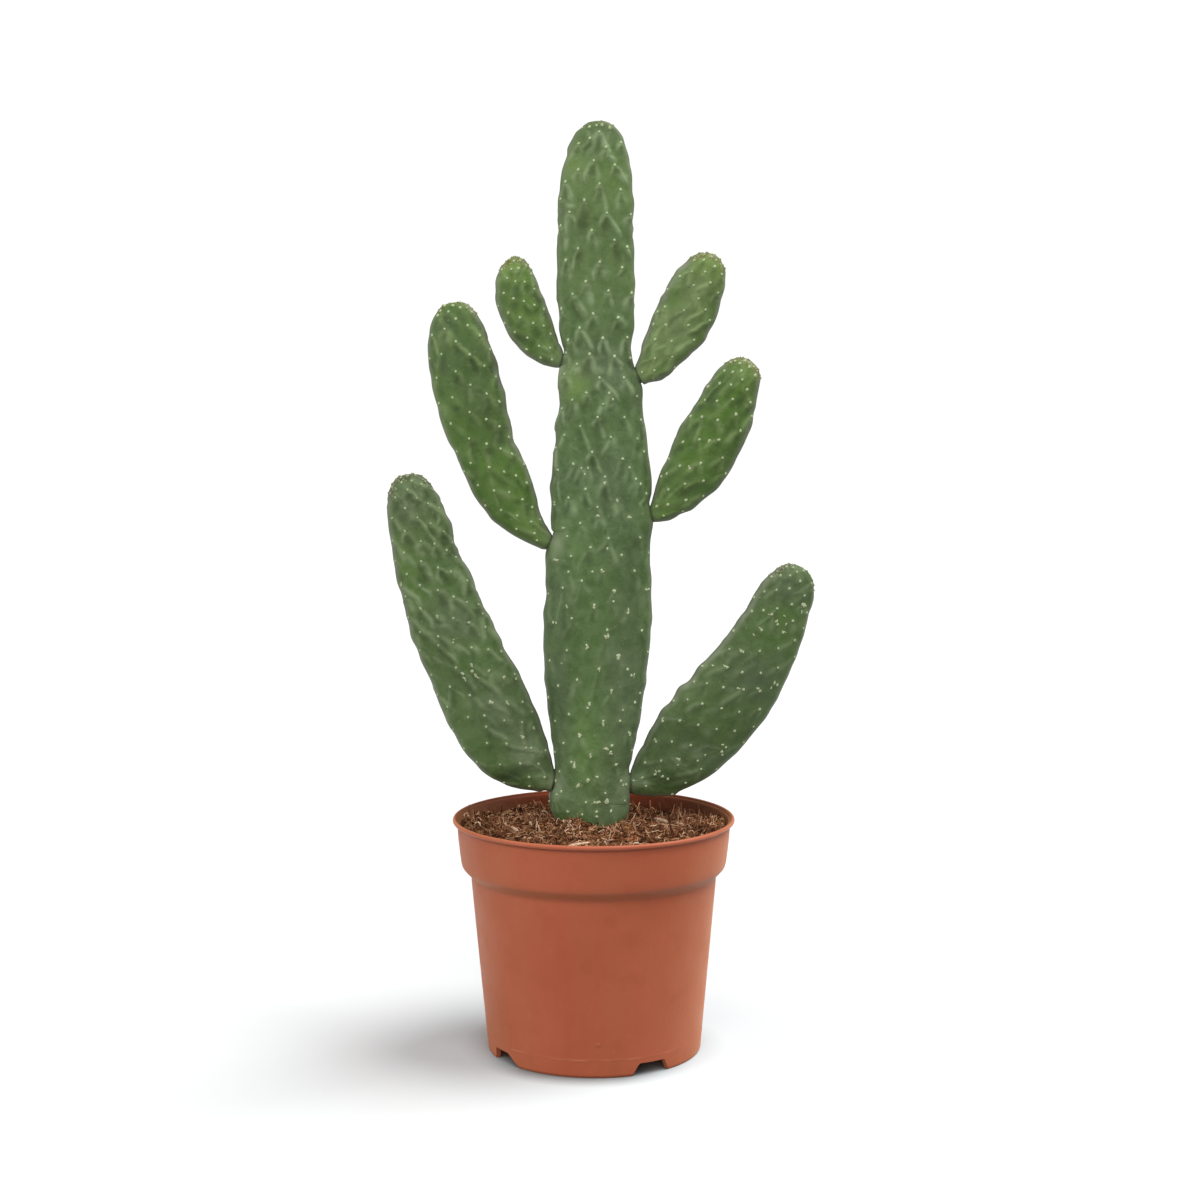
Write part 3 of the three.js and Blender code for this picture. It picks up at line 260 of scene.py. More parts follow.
# Corky scars: thousandths of the length, thousandths of the half width, width and height in tenths of a millimetre.
SCARS = {
    "main_stem": [(35, -175, 48, 24), (43, -400, 36, 39), (133, -308, 36, 24), (125, -433, 24, 18), (103, 467, 24, 42), (120, 58, 18, 24),
        (273, 167, 24, 30), (263, -417, 36, 36), (288, -192, 24, 42), (78, 100, 21, 24), (85, -133, 21, 18), (68, 350, 24, 30), (153, 317, 24, 24),
        (170, -192, 18, 30), (198, 108, 16, 30), (108, -600, 18, 26), (323, 83, 18, 24), (343, -283, 18, 30), (216, -325, 16, 24),
        (246, -75, 12, 30), (155, -817, 18, 27), (376, 783, 30, 24), (366, -92, 30, 12), (454, -342, 18, 24), (431, -550, 27, 18), (436, 50, 24, 18),
        (474, -75, 16, 30), (424, 750, 27, 11), (501, -450, 18, 18), (449, 933, 24, 14), (8, -525, 18, 24), (0, -167, 18, 18), (15, 533, 13, 13),
        (10, -175, 13, 13), (321, -558, 12, 36), (343, -942, 24, 24), (251, 658, 15, 15), (301, 758, 12, 24), (321, 575, 18, 12),
        (238, -742, 12, 30), (190, -975, 18, 15), (183, 525, 12, 24), (35, 825, 18, 15), (68, -800, 18, 15),],
    "pad_left_low": [(436, -200, 14, 20), (426, -200, 16, 18), (421, -183, 16, 18), (441, 100, 12, 24), (421, 83, 22, 18), (414, 108, 18, 16),
        (431, 75, 12, 18), (356, 150, 27, 30), (416, 417, 24, 16), (391, 650, 24, 24), (338, 475, 20, 30), (243, 425, 33, 22), (243, 783, 18, 24),
        (253, -17, 16, 16), (581, -558, 18, 13), (647, -908, 13, 30), (737, -925, 12, 18), (376, 883, 18, 18), (504, -58, 14, 12),
        (556, -233, 14, 12),],
    "pad_right_low": [(782, -583, 30, 36), (699, 83, 14, 30), (682, -267, 30, 12), (702, -242, 12, 24), (709, 367, 18, 10), (722, -100, 18, 11),
        (662, 408, 24, 12), (639, 483, 18, 12), (504, 33, 22, 18), (531, -358, 20, 20), (561, -683, 14, 36), (529, 617, 30, 16), (586, 533, 30, 18),
        (318, 892, 18, 26), (253, 775, 27, 13), (266, -58, 30, 24), (173, 100, 18, 12), (376, -558, 18, 18), (363, -667, 14, 28),
        (549, -658, 14, 18), (757, -625, 15, 24),],
    "pad_left_mid": [(581, -933, 18, 12), (549, 842, 18, 20),],
    "pad_right_mid": [(494, -8, 24, 24), (368, 175, 27, 24),],
    "pad_left_top": [],
    "pad_right_top": [(414, 433, 20, 22), (130, -733, 30, 11),],
}
# Broad patches of the skin: x, z, half width, half height (mm), turn (deg), yellowness, bloom, lightness.
PATCHES = [
    (2.9, 213.3, 54, 66, 0, 0.1, 0, -0.022), (2.8, 532.5, 42, 36, 0, 0.3, 0, 0.05), (2.9, 471.1, 33.6, 36, 0, 0.22, 0, 0.042),
    (4.1, 370.3, 36, 30, 0, 0.2, 0, -0.005), (4.1, 254.7, 36, 36, 0, 0.15, 0, -0.035), (4.1, 176.6, 36, 30, 0, 0.1, 0, -0.015),
    (-11.5, 403.7, 9.6, 10.8, 0, 1, 0, 0.1), (-10.8, 532.5, 7.2, 13.2, 0, 0.7, 0, 0.05), (11.7, 529.6, 8.4, 21.6, -25, 0.45, 0, 0),
    (7.6, 414.9, 15.6, 12, 0, -0.55, 0.25, 0), (11.3, 352.4, 12, 22.8, 0, -0.5, 0.1, 0), (-3.1, 298.3, 14.4, 18, 0, 0.25, 0, 0),
    (2.3, 249.9, 15.6, 42, 0, 0.25, 0, 0), (17.4, 225.5, 10.8, 36, 0, -0.6, 0.25, 0), (-20.1, 219.4, 7.2, 36, 0, -0.2, 0.05, -0.05),
    (-5.6, 185.8, 9.6, 27.6, 0, 0.45, 0, 0.05), (13.9, 151.9, 8.4, 15.6, 0, -0.35, 0.35, 0), (-21.8, 307.4, 5.4, 8.4, 0, 0.1, 0.9, 0),
    (-22.6, 161.8, 4.8, 8.4, 0, 0.1, 0.75, 0), (19.9, 161.8, 4.8, 9.6, 0, 0.1, 0.8, 0), (-18, 416.7, 4.2, 7.2, 0, 0.3, 0.6, 0),
    (29.1, 407.2, 3.6, 8.4, 0, 0.2, 0.45, 0), (35.3, 327.2, 3, 7.2, 0, 0.2, 0.4, 0), (-87.8, 420.9, 15.6, 27.6, -25, -0.32, 0.1, -0.01),
    (-67.7, 385.2, 14.4, 25.2, -25, 1.2, 0, -0.098), (-52.9, 346.4, 15.6, 27.6, -30, 1.3, 0, -0.024), (-35, 317.6, 9.6, 12, -35, 0.95, 0.1, 0.05),
    (-73.6, 397.1, 9.6, 8.4, 0, -0.1, 0.12, 0), (-48.3, 472.2, 8.4, 8.4, 0, 1, 0, 0.07), (-37.6, 444.5, 13.2, 26.4, -25, 0.95, 0, 0),
    (-23.4, 419.7, 4.8, 6, 0, 0.5, 0.3, 0.08), (68.8, 472.2, 10.8, 9.6, 20, 1.2, 0, 0.1), (60, 455.7, 9.6, 14.4, 25, 0.05, 0.3, 0.085),
    (47, 435.7, 13.2, 18, 25, -0.35, 0.3, 0.06), (36.9, 419.1, 9.6, 12, 25, 0.1, 0, 0.04), (32.7, 410.8, 4.8, 6, 0, 0.7, 0.1, 0.06),
    (91.3, 409.6, 8.4, 8.4, 20, 1.25, 0, 0.085), (80.6, 394.2, 13.2, 14.4, 30, 0.95, 0, 0.012), (64, 370.3, 13.2, 21.6, 30, 0.85, 0, -0.01),
    (54.5, 346.4, 12, 18, 30, 0.2, 0, 0.005), (42.5, 329.6, 7.2, 7.2, 0, 0.6, 0, 0.04), (-107.1, 325.4, 20.4, 24, -10, 0.2, 0, 0.04),
    (-101.4, 281.4, 24, 27.6, -10, 0.35, 0, 0.006), (-108.8, 334.4, 12, 14.4, -20, -0.7, 0.25, -0.02), (-111.5, 295.3, 8.4, 20.4, -20, 0.6, 0, 0.02),
    (-98.3, 298.3, 12, 24, -20, 0.1, 0, 0), (-85.2, 265, 13.2, 14.4, -25, -0.6, 0.3, 0), (-74.5, 237.7, 13.2, 18, -25, 0.3, 0, -0.01),
    (-57.7, 207.2, 13.2, 15.6, -35, -0.45, 0.3, 0), (-62.6, 195, 15.6, 18, -35, 0.4, 0, -0.03), (-41.4, 182.7, 10.8, 10.8, -30, -0.3, 0.55, 0.02),
    (-53.6, 167.3, 18, 4.8, -25, 0.5, 0, -0.16), (-29.3, 162.4, 5.4, 3.6, 0, -0.1, 0.5, 0.1), (118.6, 283.2, 10.8, 10.8, 0, -0.4, 0.2, 0),
    (111.6, 260.8, 12, 12, 20, 1.3, 0, -0.018), (99, 249.9, 14.4, 10.8, 30, 0.6, 0, -0.02), (96.1, 226.7, 18, 13.2, 30, -0.6, 0.12, -0.06),
    (73.8, 207.2, 20.4, 16.8, 40, 0.35, 0, -0.048), (58.7, 191.9, 20.4, 9.6, 35, 0.4, 0, -0.07), (64.9, 181.5, 16.8, 6, 25, -0.3, 0.2, 0),
    (43.7, 167.3, 14.4, 6, 15, 0.45, 0, -0.1), (28.5, 165.5, 6, 5.4, 0, 0, 0.7, 0.06), (45.3, 213.3, 7.2, 14.4, 35, 0.2, 0.2, 0.04),
]
# Pale creases of the skin: ends x, z, x, z, half width (mm), strength.
CREASES = [
    (-43.9, 174.7, -39.6, 175.9, 0.96, 0.8), (-39.6, 175.9, -31.7, 172.9, 0.96, 0.8), (-31.7, 172.9, -29.3, 169.2, 0.84, 0.5),
    (-53, 169.2, -44.5, 166.1, 0.84, 0.6), (-40.8, 183.9, -27.5, 181.5, 1.2, 0.6), (-42, 184.5, -36.6, 180.9, 0.96, 0.5),
    (-81.2, 232.8, -88.4, 237.7, 1.2, 0.4), (-95.1, 240.7, -90.2, 237.1, 1.2, 0.5), (41.7, 201.7, 52.6, 202.3, 0.78, 0.7),
    (42.9, 203.5, 52.6, 201.7, 0.6, 0.5), (61.2, 182.7, 68.5, 186.4, 0.96, 0.7), (68.5, 186.4, 75.8, 184.5, 0.84, 0.6),
    (47.3, 178.4, 55.2, 174.1, 1.08, 0.6), (30.9, 163.6, 37, 162.4, 0.84, 0.5), (36.4, 169.2, 43, 167.3, 0.84, 0.5),
    (51.5, 173.5, 58.8, 169.8, 0.84, 0.4), (18.7, 215.1, 28.3, 219.4, 0.6, 0.2), (89.4, 230.4, 96.1, 235.3, 1.5, 0.5),
    (102.8, 229.2, 110, 232.8, 1.5, 0.5), (37.5, 190.1, 31.4, 187.6, 0.84, 0.5), (-18.8, 322.4, -13.3, 320, 0.96, 0.5),
    (-13.9, 367.3, -7.9, 363.2, 0.96, 0.5), (-20, 307.4, -24.8, 300.7, 1.44, 0.6), (14.9, 357.8, 11.3, 363.2, 0.9, 0.5),
]


# ------------------------------------------------------------------ helpers
MM = 0.001
AXIS_X = -5.7            # pot axis in the row frame, mm
PLANT_X = -5.38          # the same for the plant, which stands a little to the right in its pot
POLE = {"main_stem": 2.25}


def srgb(r, g, b):
    """8-bit colour to linear RGBA."""
    out = []
    for v in (r, g, b):
        v = v / 255.0
        out.append(v / 12.92 if v <= 0.04045 else ((v + 0.055) / 1.055) ** 2.4)
    return (out[0], out[1], out[2], 1.0)


def smooth(a, b, x):
    t = np.clip((x - a) / (b - a), 0.0, 1.0)
    return t * t * (3 - 2 * t)


def hash01(ix, iy, iz, seed):
    n = (ix * 73856093) ^ (iy * 19349663) ^ (iz * 83492791) ^ (seed * 2654435761 % 4294967291)
    n = n & 0xFFFFFFFF
    n = ((n ^ (n >> 15)) * 2246822519) & 0xFFFFFFFF
    n = ((n ^ (n >> 13)) * 3266489917) & 0xFFFFFFFF
    n = n ^ (n >> 16)
    return (n & 0xFFFFFF) / float(0xFFFFFF) * 2 - 1


def vnoise(P, scale, seed=0):
    """Smooth noise in -1..1 on points P (n, 3), one lump per `scale`."""
    Q = P / scale
    I = np.floor(Q).astype(np.int64)
    F = Q - I
    F = F * F * F * (F * (F * 6 - 15) + 10)
    out = 0
    for dx in (0, 1):
        wx = F[:, 0] if dx else 1 - F[:, 0]
        for dy in (0, 1):
            wy = F[:, 1] if dy else 1 - F[:, 1]
            for dz in (0, 1):
                wz = F[:, 2] if dz else 1 - F[:, 2]
                out = out + wx * wy * wz * hash01(I[:, 0] + dx, I[:, 1] + dy, I[:, 2] + dz, seed)
    return out


def fbm(P, scale, octaves=3, seed=0, gain=0.5):
    out, amp, tot = 0, 1.0, 0.0
    for k in range(octaves):
        out = out + amp * vnoise(P, scale / 2 ** k, seed + 17 * k)
        tot += amp
        amp *= gain
    return out / tot


def unit(v):
    return v / np.maximum(np.linalg.norm(v, axis=-1, keepdims=True), 1e-12)


def make_mesh(name, V, polys, material, smooth_faces=True, attrs=None, sharp=None, colors=None):
    """V in mm in the row frame; polys is a list of integer arrays of quads or triangles."""
    me = bpy.data.meshes.new(name)
    V = np.ascontiguousarray(V, float) * MM
    me.vertices.add(len(V))
    me.vertices.foreach_set("co", V.astype(np.float32).ravel())
    loops, starts, at = [], [], 0
    for p in polys:
        p = np.asarray(p, np.int32)
        if len(p) == 0:
            continue
        k = p.shape[1]
        loops.append(p.ravel())
        starts.append(at + k * np.arange(len(p)))
        at += k * len(p)
    loops = np.concatenate(loops).astype(np.int32)
    starts = np.concatenate(starts).astype(np.int32)
    me.loops.add(len(loops))
    me.loops.foreach_set("vertex_index", loops)
    me.polygons.add(len(starts))
    me.polygons.foreach_set("loop_start", starts)
    me.update(calc_edges=True)
    me.validate()
    me.polygons.foreach_set("use_smooth", np.full(len(me.polygons), smooth_faces, bool))
    if sharp is not None:
        me.set_sharp_from_angle(angle=math.radians(sharp))
    for key, val in (attrs or {}).items():
        a = me.attributes.new(key, "FLOAT", "POINT")
        a.data.foreach_set("value", np.asarray(val, np.float32).ravel())
    me.update()
    ob = bpy.data.objects.new(name, me)
    bpy.context.scene.collection.objects.link(ob)
    me.materials.append(material)
    return ob


def volume(V, polys):
    s = 0.0
    for p in polys:
        p = np.asarray(p)
        if len(p) == 0:
            continue
        for k in range(1, p.shape[1] - 1):
            s += np.einsum("ij,ij->i", V[p[:, 0]], np.cross(V[p[:, k]], V[p[:, k + 1]])).sum()
    return s / 6


def outward(V, polys):
    """The same faces, turned to face out of a closed body."""
    return [np.asarray(p)[:, ::-1] for p in polys] if volume(V, polys) < 0 else polys


class Bag:
    """Collects many small bodies into one mesh."""

    def __init__(self):
        self.V, self.T, self.Q, self.A, self.n = [], [], [], {}, 0

    def add(self, V, tris=None, quads=None, **attrs):
        self.V.append(V)
        if tris is not None and len(tris):
            self.T.append(np.asarray(tris) + self.n)
        if quads is not None and len(quads):
            self.Q.append(np.asarray(quads) + self.n)
        for k, v in attrs.items():
            self.A.setdefault(k, []).append(np.broadcast_to(np.asarray(v, float), (len(V),)))
        self.n += len(V)

    def build(self, name, material, smooth_faces=True, sharp=None):
        polys = []
        if self.Q:
            polys.append(np.concatenate(self.Q))
        if self.T:
            polys.append(np.concatenate(self.T))
        return make_mesh(name, np.concatenate(self.V), polys, material, smooth_faces,
                         {k: np.concatenate(v) for k, v in self.A.items()}, sharp)


def ico(level):
    bm = bmesh.new()
    bmesh.ops.create_icosphere(bm, subdivisions=level, radius=1.0)
    V = np.array([v.co[:] for v in bm.verts])
    F = np.array([[v.index for v in f.verts] for f in bm.faces])
    bm.free()
    return V, F


ICO1, ICO2, ICO3 = ico(1), ico(2), ico(3)

# ------------------------------------------------------------------ materials


class Nodes:
    """Small helper to write a node tree in a few lines."""

    def __init__(self, name):
        self.mat = bpy.data.materials.new(name)
        self.mat.use_nodes = True
        self.t = self.mat.node_tree
        self.t.nodes.clear()
        self.out = self.t.nodes.new("ShaderNodeOutputMaterial")
        self.bsdf = self.t.nodes.new("ShaderNodeBsdfPrincipled")
        self.t.links.new(self.bsdf.outputs[0], self.out.inputs[0])
        self.coord = self.t.nodes.new("ShaderNodeTexCoord").outputs["Object"]

    def link(self, a, b):
        self.t.links.new(a, b)

    def set(self, **kw):
        for k, v in kw.items():
            self.bsdf.inputs[k.replace("_", " ")].default_value = v

    def attr(self, name):
        n = self.t.nodes.new("ShaderNodeAttribute")
        n.attribute_name = name
        return n.outputs["Fac"]

    def noise(self, scale, detail=3.0, rough=0.55, distortion=0.0, coord=None, out="Fac"):
        n = self.t.nodes.new("ShaderNodeTexNoise")
        n.inputs["Scale"].default_value = scale
        n.inputs["Detail"].default_value = detail
        n.inputs["Roughness"].default_value = rough
        n.inputs["Distortion"].default_value = distortion
        self.link(coord or self.coord, n.inputs["Vector"])
        return n.outputs[out]

    def voronoi(self, scale, feature="F1", coord=None, out="Distance", random=1.0):
        n = self.t.nodes.new("ShaderNodeTexVoronoi")
        n.feature = feature
        n.inputs["Scale"].default_value = scale
        n.inputs["Randomness"].default_value = random
        self.link(coord or self.coord, n.inputs["Vector"])
        return n.outputs[out]

    def wave(self, scale, distortion, detail, dscale, coord=None, direction="Z"):
        n = self.t.nodes.new("ShaderNodeTexWave")
        n.bands_direction = direction
        n.inputs["Scale"].default_value = scale
        n.inputs["Distortion"].default_value = distortion
        n.inputs["Detail"].default_value = detail
        n.inputs["Detail Scale"].default_value = dscale
        self.link(coord or self.coord, n.inputs["Vector"])
        return n.outputs["Fac"]

    def mapping(self, scale=(1, 1, 1), rot=(0, 0, 0)):
        n = self.t.nodes.new("ShaderNodeMapping")
        n.inputs["Scale"].default_value = scale
        n.inputs["Rotation"].default_value = rot
        self.link(self.coord, n.inputs["Vector"])
        return n.outputs[0]

    def ramp(self, fac, stops, interp="LINEAR"):
        """stops: (position, colour or grey)"""
        n = self.t.nodes.new("ShaderNodeValToRGB")
        n.color_ramp.interpolation = interp
        el = n.color_ramp.elements
        while len(el) > 1:
            el.remove(el[-1])
        for i, (p, c) in enumerate(stops):
            e = el[0] if i == 0 else el.new(p)
            e.position = p
            e.color = c if isinstance(c, tuple) else (c, c, c, 1)
        self.link(fac, n.inputs[0])
        return n.outputs[0]

    def math(self, op, a, b=None, clamp=False):
        n = self.t.nodes.new("ShaderNodeMath")
        n.operation = op
        n.use_clamp = clamp
        for i, v in enumerate((a, b)):
            if v is None:
                continue
            if isinstance(v, (int, float)):
                n.inputs[i].default_value = v
            else:
                self.link(v, n.inputs[i])
        return n.outputs[0]

    def mix(self, fac, a, b, mode="MIX"):
        n = self.t.nodes.new("ShaderNodeMix")
        n.data_type = "RGBA"
        n.blend_type = mode
        n.clamp_factor = True
        for s, v in ((0, fac), (6, a), (7, b)):
            if isinstance(v, (int, float)):
                n.inputs[s].default_value = v if s == 0 else (v, v, v, 1)
            elif isinstance(v, tuple):
                n.inputs[s].default_value = v
            else:
                self.link(v, n.inputs[s])
        return n.outputs[2]

    def bump(self, height, strength, distance, prev=None):
        n = self.t.nodes.new("ShaderNodeBump")
        n.inputs["Strength"].default_value = strength
        n.inputs["Distance"].default_value = distance
        self.link(height, n.inputs["Height"])
        if prev is not None:
            self.link(prev, n.inputs["Normal"])
        return n.outputs[0]

    def done(self, color, rough=None, normal=None):
        self.link(color, self.bsdf.inputs["Base Color"])
        if rough is not None:
            self.link(rough, self.bsdf.inputs["Roughness"])
        if normal is not None:
            self.link(normal, self.bsdf.inputs["Normal"])
        return self.mat


def skin_material(name, mid, dark, yellow, blue, pale, speck, young=srgb(124, 132, 64)):
    """Waxy cactus skin: mottled green with the yellow, glaucous, pale and dark parts
    that the mesh's own attributes place; among them painted highlight on the tubercle ridges and margins and painted
    shade in the hollows and joint creases."""
    m = Nodes(name)
    big = m.noise(24, 3, 0.5, 0.3)
    mott = m.noise(150, 4, 0.6, 0.4)
    fine = m.noise(620, 3, 0.6)
    pores = m.voronoi(1500)
    col = m.mix(m.ramp(big, [(0.36, 0.0), (0.66, 1.0)]), dark, mid)
    tone = m.attr("tone")
    col = m.mix(m.math("MULTIPLY", tone, 0.95, True), col, yellow)
    col = m.mix(m.math("MULTIPLY", tone, -0.95, True), col, blue)
    # mottling, a little lighter and darker than the ground
    col = m.mix(m.ramp(mott, [(0.40, 0.0), (0.62, 0.22)]), col, pale)
    col = m.mix(m.ramp(mott, [(0.34, 0.30), (0.5, 0.0)]), col, dark)
    # painted highlight on the tubercle edges, where their upper faces catch the light, and painted shade in the hollow
    # under each areole
    ridge_highlight = m.math("MULTIPLY", m.attr("ridge_highlight"), m.ramp(mott, [(0.3, 0.85), (0.6, 1.3)]), True)
    col = m.mix(ridge_highlight, col, pale)
    hollow_shade = m.mix(1.0, col, srgb(168, 178, 150), "MULTIPLY")
    col = m.mix(m.attr("hollow_shade"), col, hollow_shade)
    # bloom: the grey waxy coat, worn in blotches
    bloom = m.math("MULTIPLY", m.attr("bloom"), m.ramp(m.noise(90, 4, 0.62, 0.6), [(0.34, 0.35), (0.62, 1.0)]), True)
    col = m.mix(bloom, col, srgb(136, 150, 116))
    # tiny pale pores and dust
    col = m.mix(m.ramp(pores, [(0.0, 0.20), (0.26, 0.0)]), col, srgb(150, 162, 122))
    col = m.mix(m.ramp(m.noise(430, 2, 0.5), [(0.66, 0.0), (0.74, 0.30)]), col, srgb(160, 168, 128))
    light = m.attr("light")
    col = m.mix(m.math("MULTIPLY", light, 3.2, True), col, srgb(150, 172, 104))
    col = m.mix(m.math("MULTIPLY", light, -5.0, True), col, srgb(44, 56, 30))
    # the pad margin: a paler, greyer painted sheen along the border, where the skin turns away, then a thin brown edge
    col = m.mix(m.attr("painted_rim_sheen"), col, srgb(142, 150, 125))
    col = m.mix(m.attr("rim"), col, srgb(118, 114, 94))
    # the young tips: brown and pale specks between the crowded areoles
    tip = m.attr("tip")
    col = m.mix(m.math("MULTIPLY", tip, 0.40), col, young)
    col = m.mix(m.math("MULTIPLY", tip, m.ramp(m.noise(560, 3, 0.6), [(0.44, 0.0), (0.56, 0.9)]), True), col, speck)
    col = m.mix(m.math("MULTIPLY", tip, m.ramp(m.noise(900, 2, 0.5), [(0.56, 0.0), (0.64, 0.9)]), True), col, srgb(182, 180, 146))
    # painted shade: a dark line in the crease where a pad meets the stem
    col = m.mix(m.attr("joint_crease_shade"), col, srgb(40, 46, 26))
    rough = m.ramp(mott, [(0.3, 0.46), (0.7, 0.62)])
    nrm = m.bump(fine, 0.35, 0.0005)
    nrm = m.bump(pores, 0.25, 0.00025, nrm)
    nrm = m.bump(mott, 0.30, 0.0012, nrm)
    m.set(Specular_IOR_Level=0.29)
    return m.done(col, rough, nrm)


def wool_material(name, k):
    m = Nodes(name)
    n = m.noise(1500, 4, 0.7)
    tint = m.attr("tint")
    col = m.mix(m.ramp(n, [(0.3, 0.0), (0.7, 1.0)]), srgb(174 * k, 190 * k, 138 * k), srgb(212 * k, 226 * k, 186 * k))
    col = m.mix(tint, col, m.mix(m.ramp(n, [(0.35, 0.0), (0.65, 1.0)]), srgb(70, 50, 26), srgb(134, 102, 60)))
    nrm = m.bump(n, 0.6, 0.0003)
    m.set(Roughness=0.9, Specular_IOR_Level=0.15)
    return m.done(col, None, nrm)


def cork_material():
    m = Nodes("cork_scar_finish")
    n = m.noise(900, 4, 0.65, 0.3)
    col = m.ramp(n, [(0.30, srgb(140, 140, 102)), (0.45, srgb(194, 200, 160)), (0.7, srgb(224, 230, 200))])
    col = m.mix(m.attr("tint"), col, srgb(120, 124, 82))
    nrm = m.bump(n, 0.7, 0.0004)
    m.set(Roughness=0.85, Specular_IOR_Level=0.2)
    return m.done(col, None, nrm)


def pot_material():
    """Moulded terracotta-coloured plastic with slightly uneven colour, mould texture and dust; with painted highlight
    on the lip, painted shade in the grooves, at the foot and on the inner wall, and painted light on the back of the
    inner wall.
    """
    m = Nodes("terracotta_plastic_finish")
    big = m.noise(16, 3, 0.5, 0.4)
    blot = m.noise(55, 3, 0.55)
    streak = m.noise(60, 3, 0.5, coord=m.mapping((1, 1, 0.12)))
    fine = m.noise(1400, 3, 0.6)
    grain = m.noise(380, 3, 0.6)
    col = m.mix(m.ramp(big, [(0.35, 0.0), (0.65, 1.0)]), srgb(177, 84, 54), srgb(187, 94, 64))
    col = m.mix(m.ramp(streak, [(0.42, 0.0), (0.62, 0.35)]), col, srgb(180, 97, 62))
    col = m.mix(m.ramp(blot, [(0.55, 0.0), (0.72, 0.35)]), col, srgb(168, 79, 50))
    col = m.mix(m.ramp(grain, [(0.62, 0.0), (0.78, 0.22)]), col, srgb(205, 122, 88))
    # painted highlight on the lip, strongest at its left and right ends
    col = m.mix(m.attr("lip_highlight"), col, srgb(212, 146, 124))
    # painted shade under the lip, under the ledge and in the foot
    col = m.mix(m.attr("crevice_shade"), col, srgb(84, 34, 20))
    # painted shade: the inside takes a much darker copy of the plastic, and its back painted light
    col = m.mix(m.attr("inside_shade"), col, m.mix(m.attr("glow"), srgb(66, 20, 6), srgb(140, 49, 19)))
    col = m.mix(m.math("MULTIPLY", m.attr("dust"), m.ramp(m.noise(240, 4, 0.65), [(0.42, 0.0), (0.66, 0.8)]), True), col, srgb(96, 62, 42))
    col = m.mix(m.attr("scuff"), col, srgb(206, 138, 112))
    rough = m.mix(m.attr("inside_shade"), m.ramp(blot, [(0.3, 0.40), (0.7, 0.52)]), 0.9)
    nrm = m.bump(fine, 0.25, 0.00012)
    nrm = m.bump(grain, 0.18, 0.0004, nrm)
    nrm = m.bump(streak, 0.10, 0.0012, nrm)
    m.set(Specular_IOR_Level=0.32, Sheen_Weight=0.47, Sheen_Roughness=0.62, Sheen_Tint=srgb(255, 176, 120))
    return m.done(col, rough, nrm)


def soil_material():
    m = Nodes("potting_mix_finish")
    a = m.noise(210, 5, 0.65, 0.4)
    b = m.noise(900, 4, 0.7)
    c = m.voronoi(420, out="Color")
    # coir strands lie every way: two sets of stretched streaks
    d = m.noise(520, 3, 0.6, 1.2, coord=m.mapping((1, 0.28, 1), (0, 0, 0.6)))
    e = m.noise(560, 3, 0.6, 1.2, coord=m.mapping((0.28, 1, 1), (0, 0, -0.3)))
    col = m.ramp(a, [(0.32, srgb(46, 20, 7)), (0.46, srgb(94, 55, 31)), (0.60, srgb(140, 90, 57)), (0.78, srgb(190, 134, 94))])
    col = m.mix(m.ramp(b, [(0.48, 0.0), (0.7, 0.5)]), col, srgb(182, 122, 80))
    col = m.mix(m.ramp(d, [(0.57, 0.0), (0.66, 0.8)]), col, srgb(220, 168, 128))
    col = m.mix(m.ramp(e, [(0.58, 0.0), (0.67, 0.7)]), col, srgb(190, 130, 86))
    col = m.mix(m.ramp(d, [(0.36, 0.8), (0.44, 0.0)]), col, srgb(40, 15, 4))
    col = m.mix(0.12, col, c, "OVERLAY")
    col = m.mix(m.attr("tint"), col, srgb(218, 168, 126))
    # painted shade: dips of the surface and the ground behind the stem go nearly black
    col = m.mix(m.math("MULTIPLY", m.attr("depth"), 0.9), col, srgb(30, 11, 2))
    nrm = m.bump(b, 0.9, 0.0007)
    nrm = m.bump(a, 0.8, 0.0015, nrm)
    nrm = m.bump(d, 0.7, 0.0010, nrm)
    m.set(Roughness=0.95, Specular_IOR_Level=0.05)
    return m.done(col, None, nrm)


def fibre_material():
    m = Nodes("coir_fibre_finish")
    n = m.noise(700, 3, 0.6)
    s = m.attr("shade")
    col = m.ramp(s, [(0.0, srgb(38, 15, 5)), (0.22, srgb(84, 47, 26)), (0.45, srgb(142, 93, 61)), (0.7, srgb(200, 148, 110)), (0.88, srgb(234, 192, 156)), (1.0, srgb(248, 220, 190))])
    col = m.mix(m.ramp(n, [(0.4, 0.35), (0.62, 0.0)]), col, srgb(66, 34, 18))
    nrm = m.bump(n, 0.5, 0.0002)
    m.set(Roughness=0.8, Specular_IOR_Level=0.12)
    return m.done(col, None, nrm)


def wood_material(name, lo, mid, hi, scale):
    m = Nodes(name)
    n = m.noise(scale, 4, 0.65, 0.5)
    g = m.attr("grain")
    col = m.ramp(g, [(0.0, lo), (0.5, mid), (1.0, hi)])
    col = m.mix(m.ramp(n, [(0.38, 0.55), (0.6, 0.0)]), col, lo)
    nrm = m.bump(n, 0.6, 0.0005)
    m.set(Roughness=0.8, Specular_IOR_Level=0.2)
    return m.done(col, None, nrm)


def root_material():
    m = Nodes("root_finish")
    n = m.noise(300, 4, 0.6)
    w = m.noise(120, 4, 0.6, coord=m.mapping((1, 1, 0.2)))
    col = m.ramp(n, [(0.3, srgb(110, 78, 48)), (0.55, srgb(168, 132, 88)), (0.75, srgb(200, 170, 124))])
    nrm = m.bump(w, 0.7, 0.0008)
    m.set(Roughness=0.85, Specular_IOR_Level=0.2)
    return m.done(col, None, nrm)


